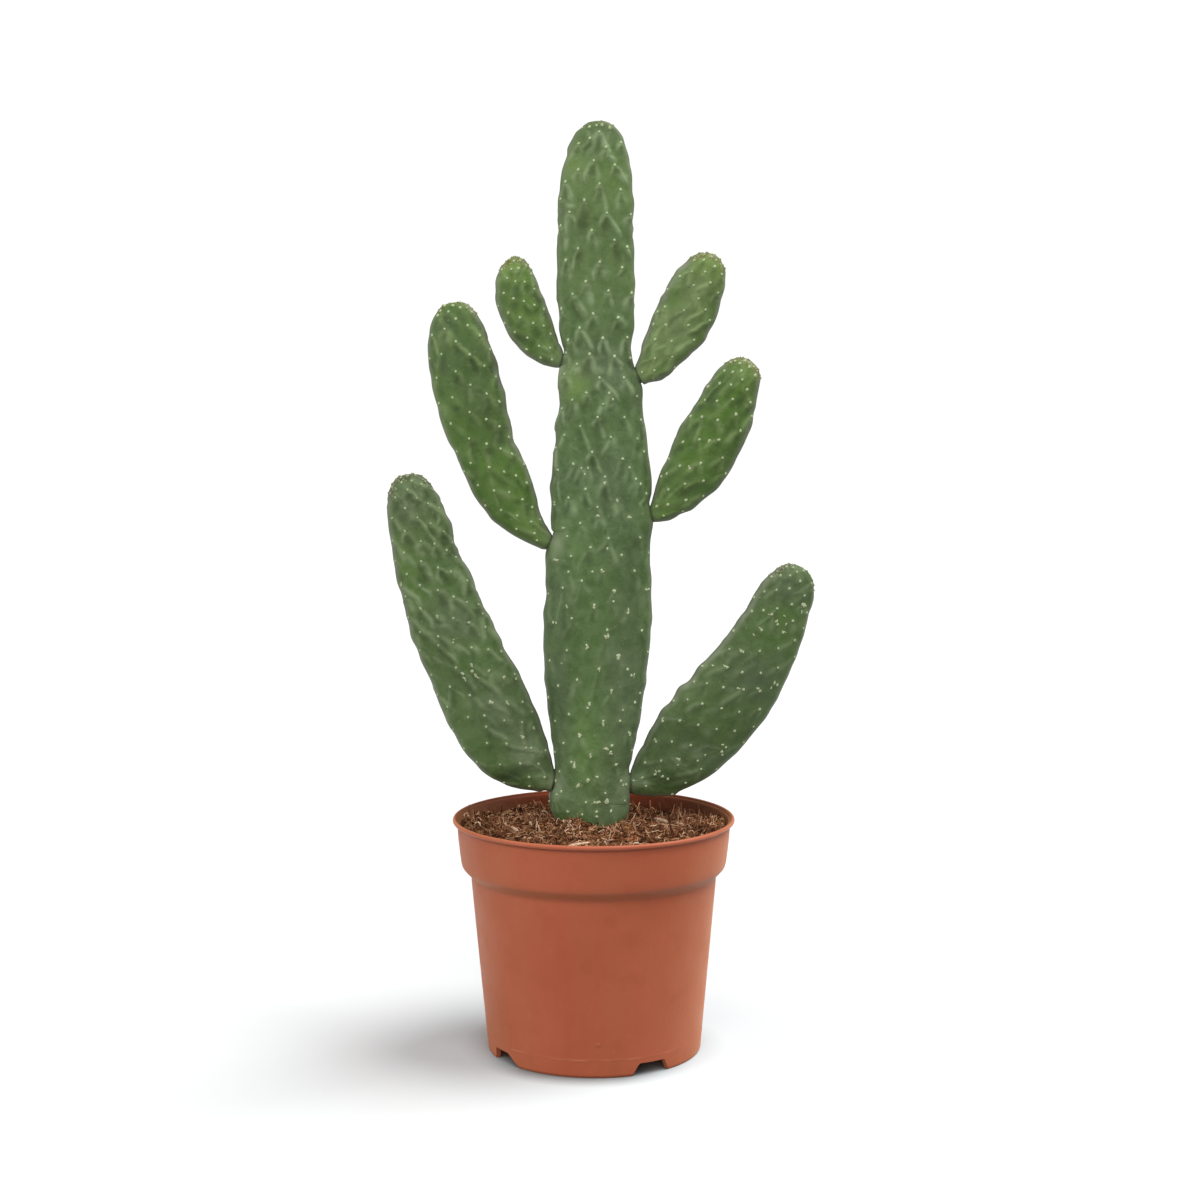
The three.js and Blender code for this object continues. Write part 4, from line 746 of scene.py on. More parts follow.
def floor_material():
    m = Nodes("studio_floor")
    n = m.noise(3, 2, 0.5)
    col = m.ramp(n, [(0.0, (0.845, 0.865, 0.868, 1)), (1.0, (0.865, 0.885, 0.888, 1))])
    # deeper shade where the floor is closely covered, along the foot of the pot
    ao = m.t.nodes.new("ShaderNodeAmbientOcclusion")
    ao.samples = 12
    ao.inputs["Distance"].default_value = 0.017
    near = m.math("SUBTRACT", 1.0, m.math("POWER", ao.outputs["AO"], 1.3, True), True)
    # little on the lamp's side
    xyz = m.t.nodes.new("ShaderNodeSeparateXYZ")
    m.link(m.coord, xyz.inputs[0])
    # the pot's own warm glow on the floor is kept neutral
    away = m.t.nodes.new("ShaderNodeVectorMath")
    away.operation = "LENGTH"
    m.link(m.coord, away.inputs[0])
    col = m.mix(m.ramp(away.outputs["Value"], [(0.06, 1.0), (0.15, 0.0)]), col, (0.780, 0.862, 0.880, 1))
    far = m.ramp(m.math("ADD", xyz.outputs[0], 0.1), [(0.03, 0.35), (0.055, 1.0), (0.115, 1.0), (0.155, 0.25)])
    col = m.mix(m.math("MULTIPLY", near, far, True), col, (0.0, 0.0, 0.0, 1))
    m.set(Roughness=0.9, Specular_IOR_Level=0.0)
    return m.done(col)


OLD = skin_material("pad_skin_old_finish", srgb(82, 110, 53), srgb(65, 89, 41), srgb(84, 119, 37), srgb(76, 97, 63), srgb(132, 153, 108), srgb(66, 64, 42), srgb(84, 86, 62))
MIDDLE = skin_material("pad_skin_finish", srgb(78, 111, 40), srgb(63, 92, 30), srgb(82, 121, 26), srgb(75, 101, 56), srgb(128, 154, 90), srgb(96, 84, 46))
YOUNG = skin_material("pad_skin_young_finish", srgb(93, 127, 52), srgb(76, 105, 40), srgb(101, 137, 33), srgb(85, 111, 64), srgb(145, 172, 110), srgb(100, 88, 48))
STEMSKIN = skin_material("stem_skin_finish", srgb(84, 112, 59), srgb(69, 93, 48), srgb(88, 126, 40), srgb(76, 98, 67), srgb(142, 165, 120), srgb(92, 78, 52), srgb(110, 112, 72))
SKIN = {"main_stem": (STEMSKIN, "stem_skin"), "pad_left_low": (OLD, "pad_skin_old"), "pad_right_low": (OLD, "pad_skin_old"),
        "pad_left_mid": (MIDDLE, "pad_skin"), "pad_right_mid": (MIDDLE, "pad_skin"),
        "pad_left_top": (YOUNG, "pad_skin_young"), "pad_right_top": (YOUNG, "pad_skin_young")}
WOOL = {"main_stem": wool_material("stem_areole_wool_finish", 1.02), "pad_left_low": wool_material("old_areole_wool_finish", 0.93)}
PAD_WOOL, CORK = wool_material("areole_wool_finish", 1.0), cork_material()
WOOL["pad_right_low"] = WOOL["pad_left_low"]

# ------------------------------------------------------------------ stem and pads
STEM_FOOT = [(112.4, -6, 6, 5.5), (115, -11.5, 11, 10.2), (120, -16.5, 15.5, 13.8), (128, -20.5, 18.2, 15.8), (138, -23, 19.6, 16.6)]
# amplitude of the tubercles low and high on the piece, where it changes, arm slope, length and half width of a tubercle
RELIEF = {
    "main_stem": dict(lo=0.30, hi=0.85, at=(0.55, 0.72), k=2.0, lq=9.5, le=6.5, wool=0.90, border=0.45),
    "pad_left_low": dict(lo=0.25, hi=0.70, at=(0.42, 0.62), k=1.8, lq=8.0, le=6.5, wool=0.88, border=0.8),
    "pad_left_mid": dict(lo=0.25, hi=0.45, at=(0.5, 0.8), k=1.8, lq=8.0, le=6.0, wool=0.94, border=0.8),
    "pad_left_top": dict(lo=0.35, hi=0.50, at=(0.2, 0.6), k=1.8, lq=6.5, le=5.0, wool=0.90, border=0.9, light=-0.036),
    "pad_right_top": dict(lo=0.40, hi=0.60, at=(0.2, 0.6), k=2.2, lq=8.0, le=5.5, wool=0.94, border=1, light=0.022),
    "pad_right_mid": dict(lo=0.40, hi=0.60, at=(0.2, 0.6), k=1.9, lq=7.5, le=6.0, wool=0.96, border=0.8, light=0.004),
    "pad_right_low": dict(lo=0.30, hi=0.35, at=(0.3, 0.7), k=1.8, lq=8.0, le=6.5, wool=0.92, border=0.95, light=-0.024),
}


def catmull(M, u):
    k = len(M)
    i = np.clip(np.floor(u).astype(int), 0, k - 2)
    f = (u - i)[:, None]
    E = np.vstack([2 * M[0] - M[1], M, 2 * M[-1] - M[-2]])
    a, b, c, d = E[i], E[i + 1], E[i + 2], E[i + 3]
    return 0.5 * (2 * b + (c - a) * f + (2 * a - 5 * b + 4 * c - d) * f * f + (3 * b - a - 3 * c + d) * f ** 3)


def section_angles(w, h, p, n):
    q = np.linspace(0, math.pi / 2, 4001)
    c, s = np.cos(q) ** (2 / p), np.sin(q) ** (2 / p)
    L = np.concatenate([[0], np.cumsum(np.hypot(w * np.diff(c), h * np.diff(s)))])
    a = np.interp(np.linspace(0, L[-1], n // 4 + 1), L, q)
    return np.concatenate([a[:-1], math.pi - a[::-1][:-1], math.pi + a[:-1], 2 * math.pi - a[::-1][:-1]])


class Cladode:
    """A stem or pad: a grid of points round it and along it, the last row its tip."""

    def __init__(self, name, step):
        self.name, self.p = name, POLE.get(name, 2.15)
        T = np.array(EDGES[name], float)
        self.n0 = len(T)
        A, B, h = T[:, :3], T[:, 3:6], T[:, 6:7]
        if name == "main_stem":
            foot = np.array(STEM_FOOT)
            keep = foot[:, 0] < 0.5 * (A[0, 2] + B[0, 2]) - 4
            foot = foot[keep]
            z = np.zeros(len(foot))
            A0 = np.stack([foot[:, 1], z, foot[:, 0]], 1)
            B0 = np.stack([foot[:, 2], z, foot[:, 0]], 1)
            h0 = foot[:, 3:4]
        else:
            m = (A + B) / 2
            d = m[0] - m[2]
            d /= np.linalg.norm(d)
            U = (A[0] - B[0]) / 2
            A0, B0, h0 = [], [], []
            for back, kw, kh in ((7.2, 0.62, 0.70), (3.8, 0.86, 0.90)):
                c = m[0] + d * back
                A0.append(c + U * kw)
                B0.append(c - U * kw)
                h0.append(h[0] * kh)
            A0, B0, h0 = np.array(A0), np.array(B0), np.array(h0)
        self.k = len(A0)
        A, B, h = np.vstack([A0, A]), np.vstack([B0, B]), np.vstack([h0, h])
        A[-1] = B[-1] = (A[-1] + B[-1]) / 2
        M = np.hstack([A, B, h])
        n = len(M)
        length = np.linalg.norm(np.diff(A, axis=0), axis=1).sum() * 0.5 + np.linalg.norm(np.diff(B, axis=0), axis=1).sum() * 0.5
        self.nt = int(length / step)
        # rows at even steps along the outline
        u = np.linspace(0, n - 1, self.nt * 4)
        D = catmull(M, u)
        L = np.concatenate([[0], np.cumsum(0.5 * np.linalg.norm(np.diff(D[:, :3], axis=0), axis=1) + 0.5 * np.linalg.norm(np.diff(D[:, 3:6], axis=0), axis=1))])
        self.u = np.interp(np.linspace(0, L[-1], self.nt), L, u)
        D = catmull(M, self.u)
        A, B, h = D[:, :3], D[:, 3:6], np.maximum(D[:, 6], 0)
        h[-1] = 0
        mid, U = (A + B) / 2, (A - B) / 2
        self.length = L[-1]
        w = np.percentile(np.linalg.norm(U, axis=1), 70)
        per = 4 * (w + np.percentile(h, 70)) * 0.86
        self.nf = int(per / step / 4) * 4
        self.phi = section_angles(w, np.percentile(h, 70), self.p, self.nf)
        tan = unit(np.gradient(mid, axis=0))
        # near the tip the middle line turns, so its direction is steadied there
        steady = int(self.nt * 0.97)
        tan[steady:] = tan[steady]
        nrm = unit(np.cross(tan, U))
        nrm[-1] = nrm[-2]
        nrm = nrm * np.where(nrm[:, 1:2] < 0, 1, -1)
        self.c = np.sign(np.cos(self.phi)) * np.abs(np.cos(self.phi)) ** (2 / self.p)
        self.s = np.sign(np.sin(self.phi)) * np.abs(np.sin(self.phi)) ** (2 / self.p)
        # a narrow groove where a pad meets the stem
        arc = np.concatenate([[0], np.cumsum(np.linalg.norm(np.diff(mid, axis=0), axis=1))])
        t0 = np.interp(self.k, self.u, arc)
        self.from_joint = arc - t0
        if name != "main_stem":
            g = 1 - 0.035 * np.exp(-((self.from_joint + 0.2) / 0.9) ** 2)
            U, h = U * g[:, None], h * g
        P = mid[:, None] + U[:, None] * self.c[None, :, None] + nrm[:, None] * (h[:, None] * self.s[None])[..., None]
        P[..., 0] += PLANT_X
        self.mid = mid + np.array([PLANT_X, 0, 0])
        self.P0, self.tan, self.nrm0 = P, tan, nrm
        self.N0 = self.normals(P)
        self.H = np.zeros(P.shape[:2])
        self.t = (self.u - self.k) / (self.n0 - 1)
        # along the middle from the apex, and across from the margin, mm
        self.depth = arc[-1] - arc
        self.margin = (1 - np.abs(self.c))[None] * np.linalg.norm(P[:, :1] - self.mid[:, None], axis=2)

    def normals(self, P):
        du = np.empty_like(P)
        du[1:-1] = P[2:] - P[:-2]
        du[0], du[-1] = P[1] - P[0], P[-1] - P[-2]
        df = np.roll(P, -1, 1) - np.roll(P, 1, 1)
        n = unit(np.cross(df, du))
        mid = self.mid[:, None]
        if np.einsum("ijk,ijk->", n[5:-5], (P - mid)[5:-5]) < 0:
            n = -n
        n[-1] = unit(self.tan[-1])
        return n

    def index(self, t, c, side):
        """Grid position (row, column) of a place given by length, width and side (+1 front)."""
        row = np.interp(self.k + t * (self.n0 - 1), self.u, np.arange(self.nt))
        a = math.acos(max(-1, min(1, math.copysign(abs(c) ** (self.p / 2), c))))
        if side < 0:
            a = 2 * math.pi - a
        ph = np.concatenate([self.phi, [2 * math.pi]])
        col = np.interp(a, ph, np.arange(self.nf + 1))
        return row, col

    def at(self, row, col, G):
        """Value of grid G at a fractional row and column."""
        r0 = int(min(max(math.floor(row), 0), self.nt - 2))
        fr = min(max(row - r0, 0), 1)
        c0 = int(math.floor(col)) % self.nf
        fc = col - math.floor(col)
        c1 = (c0 + 1) % self.nf
        return (G[r0, c0] * (1 - fr) * (1 - fc) + G[r0 + 1, c0] * fr * (1 - fc) + G[r0, c1] * (1 - fr) * fc + G[r0 + 1, c1] * fr * fc)

    def place(self, row, col):
        """Point, outward normal, direction to the tip, direction across, on the finished skin."""
        P, N = self.at(row, col, self.P), unit(self.at(row, col, self.N))
        a = self.at(min(row + 1, self.nt - 1), col, self.P) - self.at(max(row - 1, 0), col, self.P)
        T = unit(a - N * (a @ N)) if np.linalg.norm(a) > 1e-6 else unit(np.cross(N, [0.3, 1, 0.2]))
        return P, N, T, np.cross(T, N)


def back_areoles(cl, front, seed):
    """The far side carries the same lattice, turned half a step and a little uneven."""
    r = np.random.default_rng(seed)
    step = 10.5 / cl.length
    out = []
    F = []
    for t, c in front:
        row, col = cl.index(t, c, 1)
        F.append(cl.at(row, col, cl.P0))
    F = np.array(F)
    kept = []
    for t, c in front:
        t2 = t + step * 0.55 + r.normal(0, 0.10) * step
        c2 = -c + r.normal(0, 0.03)
        if abs(c2) > 0.93 or t2 > 0.992 or t2 < 0.015:
            continue
        row, col = cl.index(t2, c2, -1)
        q = cl.at(row, col, cl.P0)
        if np.linalg.norm(F - q, axis=1).min() < 4.5 or (kept and np.linalg.norm(np.array(kept) - q, axis=1).min() < 4.5):
            continue
        kept.append(q)
        out.append((t2, c2))
    return out


# Lines of the skin at four places along the piece: how often an areole has a ridge on either side, how often a hollow
# under it, the strength of ridges and of hollows; then their mean lengths (mm), how widely the ridges part (deg) and how
# much the ridge on the side of the upper edge outdoes the other.
LINES = {
    "main_stem": ((0.55, 0.60, 0.93, 0.96), (0.60, 0.60, 0.90, 0.95), (0.26, 0.32, 1.28, 1.45), (0.32, 0.44, 1.15, 1.32), 9.0, 7.4, 24, 0.0),
    "pad_left_low": ((0.45, 0.55, 0.75, 0.85), (0.60, 0.65, 0.80, 0.85), (0.54, 0.62, 1.18, 1.38), (0.46, 0.60, 1.15, 1.36), 9.4, 7.8, 30, 1.0),
    "pad_left_mid": ((0.35, 0.50, 0.60, 0.65), (0.65, 0.70, 0.80, 0.80), (0.62, 0.78, 1.04, 1.06), (0.70, 0.82, 1.05, 1.10), 9.2, 7.8, 29, 0.6),
    "pad_left_top": ((0.40, 0.40, 0.45, 0.45), (0.85, 0.85, 0.90, 0.90), (0.56, 0.58, 0.62, 0.62), (0.92, 0.95, 1.00, 1.00), 8.6, 6.6, 30, 0.4),
    "pad_right_top": ((0.85, 0.88, 0.85, 0.70), (0.85, 0.90, 0.90, 0.85), (1.12, 1.16, 1.08, 0.80), (1.25, 1.30, 1.28, 1.10), 9.2, 7.2, 24, 0.3),
    "pad_right_mid": ((0.60, 0.70, 0.75, 0.75), (0.75, 0.80, 0.85, 0.85), (0.70, 0.84, 0.92, 0.92), (0.74, 0.80, 0.88, 0.88), 9.2, 7.4, 27, 0.8),
    "pad_right_low": ((0.40, 0.45, 0.50, 0.50), (0.55, 0.60, 0.65, 0.65), (0.44, 0.48, 0.54, 0.58), (0.38, 0.42, 0.46, 0.50), 8.4, 7.6, 30, 0.6),
}


def skin_lines(cl, t, side, row, col, fade, r):
    """Low ridges that run down from an areole on either side, and the hollows under it and beside them, all a little uneven."""
    arms, dips, up, dn = (float(np.interp(t, (0.15, 0.4, 0.6, 0.85), v)) for v in LINES[cl.name][:4])
    long_up, long_dn, part, lead = LINES[cl.name][4:]
    up, dn = fade * up, fade * dn
    q = cl.at(row, col, cl.P0)
    lrow = np.linalg.norm(cl.at(row - 1 if row > 2 else row + 1, col, cl.P0) - q) + 1e-6
    lcol = np.linalg.norm(cl.at(row, col + 1, cl.P0) - q) + 1e-6
    f = np.array([0.0, 0.33, 0.67, 1.0])
    out = []

    def run(down, across, w, st):
        rc = [(min(max(row - d / lrow, 0), cl.nt - 1.01), col + a / lcol) for d, a in zip(down, across)]
        k = rc[len(rc) // 2]
        out.append((np.array([cl.at(a, b, cl.P0) for a, b in rc]), unit(cl.at(k[0], k[1], cl.N0)), w, st))

    for sg in (-1, 1):
        upper = 1 if sg == -side else -1
        if r.random() < arms * (1 + (0.35 if upper > 0 else -0.6) * lead):
            an = math.radians(min(max(r.normal(part, 6.5) + 4 * lead * upper, 8), 50))
            ln = min(max(r.gamma(6, long_up / 6) * (1 + (0.32 if upper > 0 else -0.1) * lead), 4), 19)
            down = r.uniform(0.2, 1.4) + f * ln * math.cos(an)
            over = sg * (0.4 + f * ln * math.sin(an) * (1 - r.uniform(0, 0.4) * f)) + np.array([0, r.normal(0, 0.35), r.normal(0, 0.45), r.normal(0, 0.5)])
            run(down, over, min(max(r.normal(1.2, 0.32), 0.7), 2.0), up * min(max(r.gamma(5, 0.2), 0.5), 1.8))
            if r.random() < 0.18:
                run(down + 1.2, over - sg * r.uniform(1.6, 2.4), min(max(r.normal(1.7, 0.35), 1.0), 2.5), -dn * min(max(r.gamma(5, 0.2), 0.4), 1.8))
    if r.random() < dips:
        ln = min(max(r.gamma(6, long_dn / 6), 4), 16)
        an = math.radians(r.normal(0, 14))
        down = 1.8 + f * ln * math.cos(an)
        over = f * ln * math.sin(an) + np.array([0, r.normal(0, 0.4), r.normal(0, 0.6), r.normal(0, 0.7)])
        run(down, over, min(max(r.normal(2.0, 0.35), 1.3), 2.8), -dn * min(max(r.gamma(5, 0.2), 0.4), 1.8))
    if r.random() < 0.14:
        # a slanting line between the areoles
        an = math.radians(r.uniform(45, 85)) * (1 if r.random() < 0.5 else -1)
        ln = r.uniform(4, 8)
        x0, y0 = r.uniform(-4, 4), r.uniform(3, 8)
        st = up * 0.7 if r.random() < 0.5 else -dn
        run(y0 + f * ln * math.cos(an), x0 + f * ln * math.sin(an) + 0.3 * r.normal(0, 1, 4), r.uniform(1.0, 1.9), st * r.uniform(0.5, 1.1))
    return out


# the growing tips: how deep the rough zone is and how far down it reaches (mm), then the number of small crowded areoles,
# their least distance (mm) and the strength of the specks
TIPS = {"main_stem": (3.4, 5.5, 6, 3.2, 0.45), "pad_left_low": (4.4, 12, 20, 2.8, 0.6), "pad_left_mid": (3.6, 8, 9, 3.2, 0.5), "pad_left_top": (6.5, 9.0, 15, 2.7, 0.75),
        "pad_right_top": (4.8, 9, 14, 2.7, 0.7), "pad_right_mid": (4.6, 8, 14, 2.7, 0.7), "pad_right_low": (3.8, 16, 24, 2.8, 0.6)}


def dist_seg(x, z, x0, z0, x1, z1):
    dx, dz = x1 - x0, z1 - z0
    s = np.clip(((x - x0) * dx + (z - z0) * dz) / (dx * dx + dz * dz), 0, 1)
    return np.hypot(x - x0 - s * dx, z - z0 - s * dz)


def line_field(P, N, pts, nrm, w):
    """Which of the points P lie near a line on the skin, and how strongly (1 on it, fading at its ends)."""
    lo, hi = pts.min(0) - 2.4 * w, pts.max(0) + 2.4 * w
    sel = np.nonzero(((P > lo) & (P < hi)).all(1))[0]
    sel = sel[N[sel] @ nrm > 0.0]
    if len(sel) == 0:
        return sel, np.zeros(0)
    Q = P[sel]
    seg = np.linalg.norm(np.diff(pts, axis=0), axis=1)
    cum = np.concatenate([[0], np.cumsum(seg)])
    best, par = np.full(len(sel), 1e9), np.zeros(len(sel))
    for j in range(len(seg)):
        e = pts[j + 1] - pts[j]
        f = np.clip((Q - pts[j]) @ e / max(e @ e, 1e-9), 0, 1)
        d2 = ((Q - pts[j] - f[:, None] * e) ** 2).sum(1)
        m = d2 < best
        best[m], par[m] = d2[m], cum[j] + f[m] * seg[j]
    L = cum[-1]
    ends = smooth(-0.6, min(2.4, 0.45 * L), par) * smooth(-0.6, min(3.0, 0.45 * L), L - par)
    return sel, np.exp(-0.69 * best / w ** 2) * (0.25 + 0.75 * ends)


def build_cladode(name, step, seed):
    cl = Cladode(name, step)
    par = RELIEF[name]
    rnd = np.random.default_rng(seed)
    front = [(t / 1000, c / 1000) for t, c in AREOLES[name]]
    spots = [(t, c, 1) for t, c in front] + [(t, c, -1) for t, c in back_areoles(cl, front, seed + 5)]
    spots = [(t, c, side) + cl.index(t, c, side) + (1.0,) for t, c, side in spots]
    reach, down, n_tip, least, specks = TIPS[name]
    taken = np.array([cl.at(s_[3], s_[4], cl.P0) for s_ in spots])
    around = np.linalg.norm(cl.P0 - np.roll(cl.P0, 1, 1), axis=2).sum(1)
    r0 = int(np.argmax(cl.depth < down))
    made = 0
    for _ in range(1500):
        if made >= n_tip:
            break
        row, col = rnd.uniform(r0, cl.nt - 2.2), rnd.uniform(0, cl.nf)
        if rnd.random() > around[int(row)] / around[r0]:
            continue
        if min(cl.depth[int(row)], cl.margin[int(row), int(col)]) > reach * rnd.uniform(0.4, 1.0):
            continue
        q = cl.at(row, col, cl.P0)
        if np.linalg.norm(taken - q, axis=1).min() < least:
            continue
        taken = np.vstack([taken, q])
        spots.append((float(np.interp(row, np.arange(cl.nt), cl.t)), 0.0, 1, row, col, rnd.uniform(0.5, 0.85)))
        made += 1
    P, N = cl.P0.reshape(-1, 3), cl.N0.reshape(-1, 3)
    m = len(P)
    S4, hollow_shade, cush, halo = np.zeros(m), np.zeros(m), np.zeros(m), np.zeros(m)
    lines = []
    lrnd = np.random.default_rng(seed + 9)
    places = []
    for t, c, side, row, col, size in spots:
        p, n = cl.at(row, col, cl.P0), unit(cl.at(row, col, cl.N0))
        places.append((t, c, side, row, col, size))
        ri = int(min(max(round(row), 0), cl.nt - 1))
        T = cl.tan[ri]
        T = unit(T - n * (T @ n))
        L = np.cross(T, n)
        grow = smooth(par["at"][0], par["at"][1], t)
        tip = 1 - smooth(0.93, 1.0, t)
        edge = 1 - 0.72 * smooth(0.80, 1.0, abs(c))
        amp = (par["lo"] + (par["hi"] - par["lo"]) * grow) * tip * edge * rnd.uniform(0.78, 1.22)
        k = par["k"] * rnd.uniform(0.86, 1.16)
        lq, le = par["lq"] * rnd.uniform(0.85, 1.15), par["le"]
        sel = np.nonzero(((P - p) ** 2).sum(1) < 24.0 ** 2)[0]
        sel = sel[N[sel] @ n > 0.15]
        d = P[sel] - p
        a, b = d @ L, d @ T
        q, e = -b, np.abs(a)
        # painted highlight: a pale ring round each full areole, taken into the ridge colour
        if size == 1:
            halo[sel] = np.maximum(halo[sel], 0.40 * np.exp(-(q * q + e * e) / 1.7 ** 2))
        if size < 1:
            cush[sel] += 0.20 * np.exp(-(q * q + e * e) / 1.4 ** 2)
            continue
        # the flanks wander a little
        q = q + 0.7 * vnoise(P[sel], 5.0, seed + 3)
        kk = np.where(a > 0, k, k * rnd.uniform(0.8, 1.25))
        s = (q + 1.0 - kk * e) / np.sqrt(1 + kk * kk)
        fall = np.exp(-(np.maximum(q, 0) / lq) ** 1.6) * np.exp(-(e / le) ** 2.0)
        S4[sel] += (amp * smooth(-0.3, 2.0, s) * fall) ** 4
        # painted shade just under each areole
        close = np.exp(-((q - 1.35) / 0.75) ** 2 - (e / 0.95) ** 2)
        hollow_shade[sel] = np.maximum(hollow_shade[sel], 0.60 * close)
        cush[sel] += (0.42 * np.exp(-(q * q + e * e) / 2.2 ** 2) - 0.34 * np.exp(-(q * q + e * e) / 0.85 ** 2)) * (0.5 + 0.5 * edge)
        lines += skin_lines(cl, t, side, row, col, float(smooth(2.0, 9.0, cl.depth[ri])), lrnd)
    raised, sunk = np.zeros(m), np.zeros(m)
    for pts, nn, w, st in lines:
        sel, g = line_field(P, N, pts, nn, w)
        if st > 0:
            raised[sel] = np.maximum(raised[sel], st * g)
        else:
            sunk[sel] = np.maximum(sunk[sel], -st * g)
    # the ridge colour is painted highlight along the same lines that raise the skin
    ridge_highlight = np.maximum(1.25 * (1 - np.exp(-raised)), halo)
    # the hollow colour is painted shade under the areoles and along the sunk lines
    hollow_shade = np.maximum(hollow_shade, 1.2 * (1 - np.exp(-sunk)))
    H = 0.16 + S4 ** 0.25 + cush + 0.50 * raised - 0.42 * sunk
    cc = np.broadcast_to(np.abs(cl.c)[None], cl.P0.shape[:2]).ravel()
    tt = np.broadcast_to(cl.t[:, None], cl.P0.shape[:2]).ravel()
    inner = 1 - 0.7 * smooth(0.88, 1.0, cc)
    H = H + 0.45 * fbm(P, 21.0, 2, seed + 31) * inner + 0.10 * fbm(P, 5.0, 2, seed + 47) * inner
    x, z = P[:, 0] - PLANT_X, P[:, 2]
    fr = smooth(-0.15, 0.25, -N[:, 1])
    crease = np.zeros(m)
    for x0, z0, x1, z1, w, st in CREASES:
        near = (np.abs(x - x0) < 16) & (np.abs(z - z0) < 16)
        if near.any():
            dd = dist_seg(x[near], z[near] + 0.8 * vnoise(P[near], 3.0, 7), x0, z0, x1, z1)
            crease[near] = np.maximum(crease[near], st * np.exp(-(dd / w) ** 2))
    crease *= fr
    H = H + 0.35 * crease
    if name != "main_stem":
        H *= smooth(-1.0, 7.0, np.broadcast_to(cl.from_joint[:, None], cl.P0.shape[:2]).ravel())
    else:
        H *= smooth(-0.02, 0.02, tt)
    Pn = P + N * H[:, None]
    cl.P = Pn.reshape(cl.P0.shape)
    cl.P[-1] = cl.P[-1].mean(0)
    cl.N = cl.normals(cl.P)

    # pigment
    tone = 0.22 * fbm(P, 34.0, 3, seed + 61)
    bloom = 0.10 + 0.20 * np.clip(fbm(P, 15.0, 3, seed + 71), 0, 1)
    light = 0.02 * fbm(P, 26.0, 2, seed + 81) + par.get("light", 0.0)
    for px, pz, rx, rz, ang, tn, bl, li in PATCHES:
        ca, sa = math.cos(math.radians(ang)), math.sin(math.radians(ang))
        dx, dz = x - px, z - pz
        u, v = dx * ca - dz * sa, dx * sa + dz * ca
        g = np.exp(-((u / rx) ** 2 + (v / rz) ** 2) * 1.1)
        both = fr if bl < 0.7 else 1.0
        tone = tone + tn * g * fr
        bloom = bloom + bl * g * both
        light = light + li * g * fr
    tone += (1 - fr) * 0.45 * fbm(P, 48.0, 2, seed + 91)
    bloom = np.clip(bloom + 0.85 * crease, 0, 1)
    # distance from the margin, mm
    margin = cl.margin.ravel()
    depth = np.broadcast_to(cl.depth[:, None], cl.P0.shape[:2]).ravel()
    rim = (1 - smooth(0.0, 0.45, margin)) * 0.5
    # painted sheen: a paler band within a few mm of the margin, where the skin turns away
    painted_rim_sheen = (1 - smooth(0.5, 3.6, margin)) * np.clip(0.69 + 0.35 * fbm(P, 8.0, 2, seed + 13), 0.25, 0.95) * par["border"]
    tips = specks * (1 - smooth(0.45 * reach, 1.1 * reach, np.minimum(margin, depth))) * (1 - smooth(0.7 * down, 1.25 * down, depth))
    # painted shade along the crease where a pad meets the stem
    joint_crease_shade = np.zeros(m)
    if name != "main_stem":
        fj = np.broadcast_to(cl.from_joint[:, None], cl.P0.shape[:2]).ravel()
        joint_crease_shade = 0.85 * np.exp(-((fj + 0.3) / 0.8) ** 2)
    else:
        for jx, jz, ux, uz in JOINTS:
            dd = dist_seg(x, z, jx, jz, ux, uz)
            joint_crease_shade = np.maximum(joint_crease_shade, 0.6 * np.exp(-(dd / 0.8) ** 2))
    attrs = dict(ridge_highlight=ridge_highlight, hollow_shade=np.clip(hollow_shade, 0, 1), tone=np.clip(tone, -1.1, 1.1), bloom=bloom, light=light, rim=rim, painted_rim_sheen=painted_rim_sheen, tip=tips, joint_crease_shade=joint_crease_shade)

    nt, nf = cl.nt, cl.nf
    V = np.vstack([cl.P[:-1].reshape(-1, 3), cl.P[-1, :1], cl.P[0].mean(0)[None]])
    keep = lambda a: np.concatenate([a.reshape(nt, nf)[:-1].ravel(), [a.reshape(nt, nf)[-1, 0]], [a.reshape(nt, nf)[0, 0]]])
    i, j = np.meshgrid(np.arange(nt - 2), np.arange(nf), indexing="ij")
    i, j = i.ravel(), j.ravel()
    j1 = (j + 1) % nf
    quads = np.stack([i * nf + j, i * nf + j1, (i + 1) * nf + j1, (i + 1) * nf + j], 1)
    jj = np.arange(nf)
    top, foot = (nt - 1) * nf, (nt - 1) * nf + 1
    tris = np.vstack([np.stack([(nt - 2) * nf + jj, (nt - 2) * nf + (jj + 1) % nf, np.full(nf, top)], 1),
                      np.stack([(jj + 1) % nf, jj, np.full(nf, foot)], 1)])
    polys = outward(V, [quads, tris])
    mat, slot = SKIN[name]
    ob = make_mesh(name + "_skin", V, polys, mat, True, {k: keep(a) for k, a in attrs.items()})
    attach(ob, "root")
    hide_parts(name)
    dress(cl, places, par, rnd)
    return cl


def blob(rnd, base, size, rough):
    V, F = base
    r = 1 + rough * (vnoise(V * 1.7 + rnd.uniform(-50, 50, 3), 0.9, 3) + 0.5 * rnd.uniform(-1, 1, len(V)))
    return V * r[:, None] * np.asarray(size), F


def cone(base, tip, r, side, n=3):
    ax = unit(tip - base)
    u = unit(np.cross(ax, side))
    w = np.cross(ax, u)
    a = np.arange(n) * 2 * math.pi / n
    ring = base + r * (np.cos(a)[:, None] * u + np.sin(a)[:, None] * w)
    V = np.vstack([ring, tip[None]])
    F = [[k, (k + 1) % n, n] for k in range(n)] + [list(range(n))[::-1]]
    return V, F


